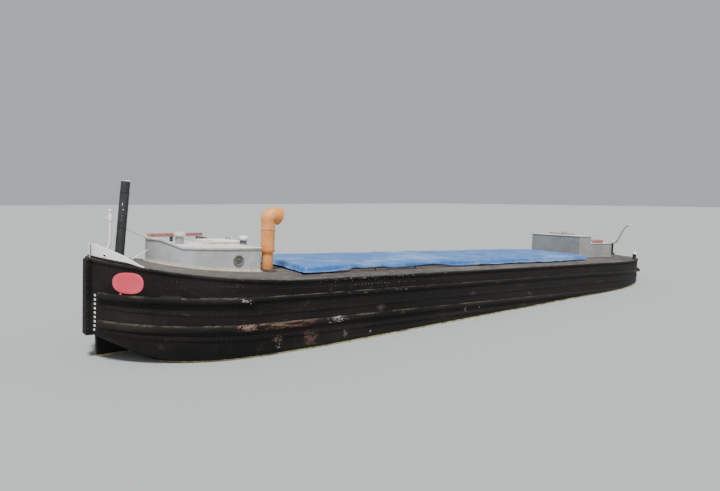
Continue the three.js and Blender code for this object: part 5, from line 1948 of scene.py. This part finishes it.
    def roof_gear(self) -> None:
        """A dark rail across the roof with a brace, and a squared red beam that lies from brow to rail."""
        roof = self.top + self.roof
        x, inner, outer, high = at(2.4), -0.42, -0.98, 2.398
        half = [(inner, roof - 0.01), (inner, high - 0.05), (inner - 0.03, high - 0.008), (inner - 0.1, high)]
        rail = [(x, y, z) for y, z in half + [(inner + outer - y, z) for y, z in half[::-1]]]
        surface = Surface(tube(spline(rail, 70), 0.019, 14, (1, 0, 0)),
                          block((x, inner, roof + 0.047), (0.028, 0.022, 0.047)))
        piece("grab_rail", surface, POST)
        ends = np.array([[x - 0.024, inner - 0.04, high - 0.02], [x - 0.024, outer + 0.02, roof + 0.012]])
        piece("rail_brace", tube(np.linspace(*ends, 8), 0.009, 10, (1, 0, 0)), IRON)
        ends = np.array([[at(1.07), -0.05, self.brow_top + self.roof + 0.033], [at(2.55), -1.05, 2.452]])
        reach = ends[0] - ends[1]
        turn = turned(math.degrees(math.atan2(reach[1], reach[0]))) @ turned(
            -math.degrees(math.atan2(reach[2], math.hypot(reach[0], reach[1]))), "Y")
        half = (np.linalg.norm(reach) / 2, 0.034, 0.034)
        piece("red_beam", block(ends.mean(0), half, turn, 0.08, 32), BEAM)

    def build(self) -> None:
        """Makes the cabin."""
        self.walls()
        self.trims()
        dress(ROOFING, 0.005, "cabin_roof")
        dress(WHITE, 0.006, "cabin_hatch")
        self.portholes()
        self.vents()
        self.hatch()
        self.roof_gear()


@dataclass
class VentPipe:
    """Plastic drain pipe set up as a vent, with a sleeve joint and an elbow that opens aft."""

    aft: float = 3.06
    y: float = 1.0
    radius: float = 0.125
    wall: float = 0.009
    top: float = 2.77
    joint: float = 2.6503
    bend: float = 0.15
    elbow_turn: float = 107.0
    socket: float = 0.168
    collar: float = 0.19
    sleeve_z: float = 2.25
    low_radius: float = 0.112
    high_radius: float = 0.135

    def shell(self, path: Array, radius: Array, inner: Array) -> Array:
        """A pipe wall: rings along the path outside, then back inside, closed at both rims.

        Args:
            path: centre line.
            radius: outer radius at each point.
            inner: bore radius at each point.

        Returns:
            Rings that close on themselves.
        """
        direction = unit(np.gradient(path, axis=0))
        side = unit(np.cross(direction, (0.0, 1.0, 0.0)))
        up = np.cross(side, direction)
        outside, inside = (sweep(path, circle(size, 56), side, up) for size in (radius, inner))
        return looped(np.concatenate([outside, inside[::-1]]))

    def upright(self, foot: Array) -> None:
        """The straight pipe from the deck to the elbow, wider over a beaded sleeve joint.

        Args:
            foot: the middle of the pipe's lower end.
        """
        ring = np.array([-0.048, -0.04, 0.004, 0.012]) + self.sleeve_z - foot[2]
        z = np.unique(np.concatenate([np.linspace(0, self.joint - foot[2], 40), ring]))
        wider = smooth((z - ring[0]) / 0.008)
        radius = self.low_radius + (self.high_radius - self.low_radius) * wider
        radius = radius + 0.006 * wider * smooth((ring[3] - z) / 0.008)
        bore = np.minimum(radius - self.wall, self.radius - self.wall)
        piece("upright_pipe", self.shell(foot + z[:, None] * UP, radius, bore), PIPE_PLASTIC,
              stands_for=("vent_pipe",))

    def elbow(self) -> None:
        """A full bend squared a little in its curve, with a bulged back, a socket and a rolled mouth."""
        turn = np.linspace(0, np.radians(self.elbow_turn), 30)
        rise = np.linspace(self.joint, self.top + 0.005, 9)[:-1, None] * UP
        curve = np.stack([-self.bend * (1 - bent(np.cos(turn), 0.6)), 0 * turn,
                          self.top + 0.005 + self.bend * np.sin(turn) ** 0.6], -1)
        way = np.array([-math.sin(turn[-1]), 0, math.cos(turn[-1])])
        run = np.linspace(0, 0.034, 6)[1:]
        path = np.concatenate([rise, curve, curve[-1] + run[:, None] * way]) + [at(self.aft), self.y, 0]
        turned_by = np.concatenate([np.zeros(8), turn, np.full(5, turn[-1])])
        last = np.concatenate([np.zeros(8 + len(turn)), run])
        radius = self.high_radius + 0.004
        radius = radius + (self.socket - self.high_radius - 0.004) * smooth((turned_by - 1.05) / 0.3)
        radius = radius + 0.006 * smooth((last - 0.018) / 0.008)
        radius = radius + 0.006 * smooth((self.joint + 0.03 - path[:, 2]) / 0.01)
        radius = radius + 0.02 * np.sin(np.clip(turned_by / np.radians(90), 0, 1) * np.pi)
        bore = np.full(len(path), self.radius - self.wall)
        rings = self.shell(path, radius, bore)
        piece("pipe_elbow", rings, PIPE_PLASTIC, sharp=45, stands_for=("vent_elbow",))

    def foot_collar(self, spot: Array) -> None:
        """A rusty collar round the pipe's foot, bent to the deck's camber.

        Args:
            spot: the middle of the pipe, on the deck.
        """
        ring = [[self.low_radius + 0.002, -0.02], [self.collar, -0.02], [self.collar, 0.012],
                [self.collar - 0.02, 0.02], [self.radius + 0.02, 0.026], [self.low_radius + 0.014, 0.04],
                [self.low_radius + 0.003, 0.042]]
        around = lathe(ring, spot, 48)[1:-1]
        around[..., 2] += FORM.deck_z(ORIGIN - around[..., 0], around[..., 1]) - spot[2]
        piece("pipe_collar", looped(around), IRON, stands_for=("vent_collar",))

    def build(self) -> None:
        """Makes the pipe, its elbow and the collar."""
        self.upright(FORM.on_deck(self.aft, self.y, -0.02))
        self.elbow()
        self.foot_collar(FORM.on_deck(self.aft, self.y))


@dataclass
class HoldCover:
    """Hold coaming, timber hatch sections and ledges."""

    fore: float = 3.7
    aft: float = 14.0
    half: float = 1.38
    top: float = 1.862
    crown: float = 0.06
    thick: float = 0.055
    over: float = 0.045
    sections: tuple[str, ...] = tuple(f"hatch_section_{number}" for number in range(1, 5))

    def tops(self, y: Array) -> Array:
        """Height of the hatch sections' tops: a parabola across."""
        reach = self.half + self.over
        return self.top + self.thick + self.crown * (1 - np.minimum(1, (y / reach) ** 2))

    def build(self) -> None:
        """Dresses the timber and the coaming, and stays the coaming to the side decks with short brackets."""
        dress(COAMING, 0.004, "hold_coaming")
        dress(TIMBER, 0.005, *self.sections)
        dress(LEDGE, 0.005, *(f"hatch_ledge_{side.word}" for side in Side))
        stays = [block(FORM.on_deck(place, side.value * (self.half + 0.035), 0.018), (0.012, 0.03, 0.022))
                 for side in Side for place in np.arange(4.3, 13.9, 1.2)]
        piece("coaming_stays", Surface(*stays), COAMING)


@dataclass
class Tarpaulin:
    """A rectangular sheet laid along the hatch sections, its edges hanging over onto the side decks."""

    cover: HoldCover
    length: float = 10.86
    width: float = 3.22
    rows: int = 330
    columns: int = 128
    clear: float = 0.0035
    thickness: float = 0.0012
    fall: float = 0.108
    ledge_half: float = 1.44
    ledge_top: float = 1.848

    def hang(self) -> tuple[Array, Array, Array]:
        """Run of cloth past an edge: it bends down, falls, and spreads when it meets the deck.

        Returns:
            Path length past the edge, and the level and downward distances there.
        """
        run = np.linspace(0, 0.5, 251)
        steep = np.radians(78) * smooth(run / 0.045) * (1 - smooth((run - 0.105) / 0.05))
        step = run[1] - run[0]
        level, down = (np.concatenate([[0], np.cumsum(part(steep[1:]) * step)]) for part in (np.cos, np.sin))
        return run, level, np.minimum(down, self.fall)

    def points(self) -> tuple[Array, Array]:
        """Places every point of the flat sheet.

        Returns:
            Points by row and column, and their flat plan in metres.
        """
        cover = self.cover
        s, t = np.broadcast_arrays(np.linspace(0, self.length, self.rows)[:, None],
                                   np.linspace(-self.width / 2, self.width / 2, self.columns)[None])
        port = (t + self.width / 2) / self.width
        drift = 0.02 * np.sin(s * 0.75 + 0.6) + 0.01 * np.sin(s * 2.3 + 1.1) + 0.004 * np.sin(s * 5.1)
        edge_pull = 0.012 * ripples(s, t * 0.2, 0.9, seed=31) * (np.abs(t) / (self.width / 2)) ** 4
        pulled = 0.085 * smooth((s - 1.0) / 0.5) * smooth((4.5 - s) / 0.7) + 0.07 * smooth((s - 8.6) / 2.3)
        cross = t + drift - pulled * port + edge_pull * np.sign(t)
        edge = cover.half + cover.over + 0.006
        front, back = cover.fore - 0.004, cover.aft + 0.006
        start = front - 0.2 + 0.012 * np.sin(t * 2.2 + 0.5) + 0.006 * np.sin(t * 6.0)
        along = start + s - 0.22 * smooth((s - 6.5) / 4.4) * port**2
        run, level, down = self.hang()
        past_side = np.clip(np.abs(cross) - edge, 0, None)
        past_end = np.clip(along - back, 0, None) - np.clip(front - along, 0, None)
        past = np.hypot(past_side, past_end)
        out = np.interp(past, run, level) / np.maximum(past, 1e-9)
        y = np.sign(cross) * (np.minimum(np.abs(cross), edge) + out * past_side)
        aft = np.clip(along, front, back) + out * past_end
        z = cover.tops(np.minimum(np.abs(y), edge)) + self.clear - np.interp(past, run, down)
        folds = self.folds(s, t)
        spread = np.clip((np.abs(cross) - edge + 0.25) / 0.3, 0, 1)
        packing = 0.005 * ridge(np.sin(np.pi * s / 0.905)) ** 2
        packing = packing + 0.005 * ridge(np.sin(np.pi * (t + 0.8) / 0.795)) ** 2
        billow = 0.007 * (1 + ripples(s, t, 1.5, seed=8))
        billow = billow + 0.006 * spread * (1 + ripples(s * 1.2, t * 0.4, 0.9, seed=9))
        deck = FORM.deck_z(aft, y) + 0.006
        over_ledge = (np.abs(y) < self.ledge_half) & (aft > cover.fore) & (aft < cover.aft)
        ledge = np.where(over_ledge, self.ledge_top, 0)
        z = np.maximum(z + folds + packing + billow, np.maximum(deck, ledge) + 0.15 * folds)
        return spots(aft, y, z), np.stack([s, t], -1)

    def folds(self, s: Array, t: Array) -> Array:
        """Height of the long and the fine folds: ridges where rippled fields cross nought."""
        return (0.014 * ridge(ripples(s * 0.55, t * 1.6, 1.3, seed=5, waves=4))
                + 0.004 * ridge(ripples(s, t, 0.42, seed=6, waves=5)))

    def eyelets(self, points: Array) -> Piece:
        """Small rings along the sheet's long edges, seated on the cloth.

        Args:
            points: the sheet's points.

        Returns:
            The rings as one piece.
        """
        surface = Surface()
        turn = full_turn(16)[:, None]
        for row in range(6, self.rows - 3, 30):
            for column in (2, self.columns - 3):
                along = unit(points[row + 1, column] - points[row - 1, column])
                over = unit(points[row, column + 1] - points[row, column - 1])
                up = unit(np.cross(over, along))
                up = up if up[2] > 0 else -up
                spoke = np.cos(turn) * along + np.sin(turn) * np.cross(up, along)
                path = points[row, column] + up * 0.002 + 0.012 * spoke
                surface.rings(looped(sweep(path, circle(0.0035, 8), spoke, up)))
        return piece("sheet_eyelets", surface, BRONZE, sharp=50)

    def build(self) -> None:
        points, plan = self.points()
        obj = piece("hold_sheet", Surface().grid(points, plan=plan), SHEET, stands_for=("tarpaulin",),
                    sharp=60, level=True, wall=self.thickness)
        rings = self.eyelets(points)


@dataclass
class EngineCasing:
    """Companion and engine casing with their roofs, lids, hinges and handles, and the engine below."""

    fore: float = 14.56
    step: float = 15.25
    aft: float = 16.6
    half: float = 0.9
    low_top: float = 2.26
    high_top: float = 2.5
    skirt: float = -0.066

    def trims(self) -> None:
        """Corner straps, a foot angle along each side and rows of rivets in the casing's walls."""
        surface = Surface()
        angle = [[0.0, 0.04], [0.006, 0.039], [0.007, 0.008], [0.038, 0.007], [0.04, 0.0], [0.0, -0.004]]
        heads = []
        low, high = self.low_top - 0.03, self.high_top - 0.03
        corners = ((self.step, low), (self.aft - 0.03, low), (self.fore + 0.03, high))
        along = np.arange(self.fore + 0.06, self.aft - 0.03, 0.09)
        for side in Side:
            y = side.value * self.half
            surface.rings(bar(FORM.on_deck(np.linspace(self.fore, self.aft, 24), y), angle, side.out))
            for place, top in corners:
                path = spots(place, y, np.linspace(FORM.on_deck(place, y)[2] + 0.05, top, 8))
                surface.rings(bar(path, strap(0.025, 0.005), heading(0), side.out))
            rows = FORM.on_deck(along, y, 0.024) + 0.007 * side.out
            heads.append(studs(rows, side.out, 0.008, 0.005))
        piece("casing_trims", surface.rings(*heads), CASING_GREY, sharp=35)

    def lid(self, node: str, body: Body, finish: Finish) -> None:
        """Hinges at the front edge and a lifting handle at the back.

        Args:
            node: the lid's node.
            body: the lid's body.
            finish: the lid's finish.
        """
        low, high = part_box(node)
        surface = Surface()
        for share in (0.18, 0.82):
            y = low.y + share * (high.y - low.y)
            barrel = np.array([[high.x - 0.004, y + reach, high.z] for reach in (-0.035, 0, 0.035)])
            surface.rings(block((high.x - 0.08, y, high.z + 0.003), (0.08, 0.022, 0.004)),
                          tube(barrel, 0.009, 14, UP))
        surface.rings(lifting_handle(0.08, [low.x + 0.09, (low.y + high.y) / 2, high.z]))
        piece(f"{node}_fittings", surface, IRON, body)
        dress(finish, 0.006, node)

    def lips(self) -> None:
        """Skirt of the engine lid: a strip carried round its two sides and its back, outside the frame."""
        low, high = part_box("engine_hatch")
        reach, back, corner = high.y - 0.0045, low.x + 0.0045, 0.02
        bend = np.linspace(0, np.pi / 2, 6)
        bend = np.stack([back + corner - corner * np.sin(bend), reach - corner + corner * np.cos(bend)], -1)
        half = np.concatenate([[[high.x - 0.02, reach]], bend])
        plan = np.concatenate([half, half[::-1] * [1, -1]])
        path = np.concatenate([plan, np.full((len(plan), 1), low.z)], 1)
        ahead = unit(np.gradient(path, axis=0))
        inward = np.stack([ahead[:, 1], -ahead[:, 0], 0 * ahead[:, 0]], -1)
        inward *= -np.sign(inward[:1, 1])
        strip = np.array([[-0.0035, 0.004], [0.0035, 0.004], [0.0035, self.skirt], [0, self.skirt - 0.004],
                          [-0.0035, self.skirt]])
        piece("engine_lid_skirt", bar(path, strip, inward), HATCH_SIDES, Body.ENGINE_LID)

    def build(self) -> None:
        """Dresses the casing and adds its fittings."""
        dress(CASING_GREY, 0.006, "engine_casing", "companion")
        dress(ROOFING, 0.005, "engine_roof", "companion_roof")
        self.trims()
        self.lid("engine_hatch", Body.ENGINE_LID, HATCH_RED)
        self.lid("companion_hatch", Body.COMPANION_LID, CASING_GREY)
        self.lips()
        dress(ENGINE_PAINT, 0.02, "engine")


@dataclass
class SternGear:
    """Tiller, rudder, propeller, shaft and the two stern bollards."""

    stock_aft: float = 18.38
    helm: float = 45.0
    bar: float = 0.035
    head_z: float = 2.21
    line: tuple[Row, ...] = ((0.02, 2.245), (0.34, 2.262), (0.62, 2.4), (1.15, 2.765), (1.42, 2.88),
                             (1.76, 2.935))
    shaft_z: float = 0.5
    propeller_aft: float = 17.86
    blade_root: float = 0.055
    blade_tip: float = 0.33
    blades: int = 3
    advance: float = 0.62
    bollard_aft: float = 17.0
    bollard_y: float = 1.52

    def tiller(self) -> None:
        """A swan-neck bar from the stock's head, flattened to a grip at its end."""
        way = heading(self.helm)
        stock = spots(self.stock_aft, 0, 0)
        path = spline([stock + way * reach + UP * z for reach, z in self.line], 110)
        share = np.linspace(0, 1, 110)
        grip = smooth((share - 0.9) / 0.02) * smooth((1.0 - share) / 0.01)
        radius = self.bar * (1.05 - 0.2 * smooth(share * 1.2)) + 0.004 * grip
        cross = np.cross(UP, way)
        head = [[0.04, 0.0005], [0.052, 0.006], [0.052, 0.07], [0.046, 0.078], [0.02, 0.082]]
        middle = stock + UP * (self.head_z + 0.04)
        surface = Surface(tube(path, radius, 22, cross), lathe(head, stock + UP * self.head_z, 36),
                          block(middle + way * 0.1, (0.07, 0.03, 0.024), turned(self.helm)))
        piece("white_tiller", surface, WHITE, Body.STEERING, ("tiller",))
        bolt = studs((middle + way * 0.12 + cross * 0.03)[None], cross, 0.013, 0.012, 8)
        piece("tiller_bolt", bolt, IRON, Body.STEERING)

    def propeller(self) -> None:
        """Twisted blades: chord and thickness by radius, pitch angle falling from hub to tip."""
        foot = spots(self.propeller_aft, 0, self.shaft_z)
        cone = [[0.03, -0.083], [0.048, -0.083], [0.062, -0.02], [0.074, 0.05], [0.074, 0.083],
                [0.035, 0.086]]
        surface = Surface(lathe(cone, foot, 44, (1, 0, 0)))
        span, turn = np.linspace(0, 1, 26)[:, None], full_turn(28)[None]
        radius = self.blade_root + (self.blade_tip - self.blade_root) * span
        chord = 0.205 * np.sqrt(np.clip(1 - (np.abs(span - 0.52) / 0.53) ** 2.6, 0.0, 1)) + 0.002
        along = np.cos(turn) * chord / 2
        fat = np.sin(turn) * (0.011 * (1 - span * 0.75) + 0.001)
        pitch = np.arctan(self.advance / (2 * np.pi * radius))
        axial = along * np.sin(pitch) + fat * np.cos(pitch)
        around = along * np.cos(pitch) - fat * np.sin(pitch)
        for number in range(self.blades):
            angle = 2 * np.pi * number / self.blades + around / radius
            blade = np.stack([axial, -radius * np.sin(angle), radius * np.cos(angle)], -1)
            surface.rings(capped(foot + blade))
        piece("three_blade_propeller", surface, BRONZE, Body.PROPULSION, ("propeller",), sharp=50)

    def bollards(self) -> None:
        """Two turned posts with paint-splashed heads."""
        stem = [[0.085, -0.008], [0.085, 0.01], [0.062, 0.016], [0.058, 0.03], [0.058, 0.166], [0.068, 0.178],
                [0.06, 0.18]]
        cap = [[0.062, 0.176], [0.078, 0.182], [0.079, 0.222], [0.072, 0.236], [0.06, 0.243], [0.03, 0.2455]]
        for side in Side:
            foot = FORM.on_deck(self.bollard_aft, side.value * self.bollard_y)
            piece(f"bollard_stem_{side.word}", lathe(stem, foot), POST)
            node = f"stern_bollard_{side.word}"
            piece(f"bollard_head_{side.word}", lathe(cap, foot), WHITE, stands_for=(node,))

    def build(self) -> None:
        """Makes the gear at the stern."""
        dress(DARK_IRON, 0.006, "rudder")
        dress(IRON, 0.004, "rudder_gland")
        dress(IRON, 0.0, "propeller_shaft")
        self.tiller()
        self.propeller()
        self.bollards()


def main() -> None:
    """Builds the studio, then the barge from the keel up."""
    logging.basicConfig(level=logging.INFO, format="%(message)s")
    cover = HoldCover()
    for part in (Studio(), ShellPlating(), DeckPlating(), *STRAKES, Backbone(), BowTrim(), Foredeck(),
                 ForeCabin(), VentPipe(), cover, Tarpaulin(cover), EngineCasing(), SternGear()):
        LOG.info("building %s", type(part).__name__)
        part.build()


if __name__ == "__main__":
    main()
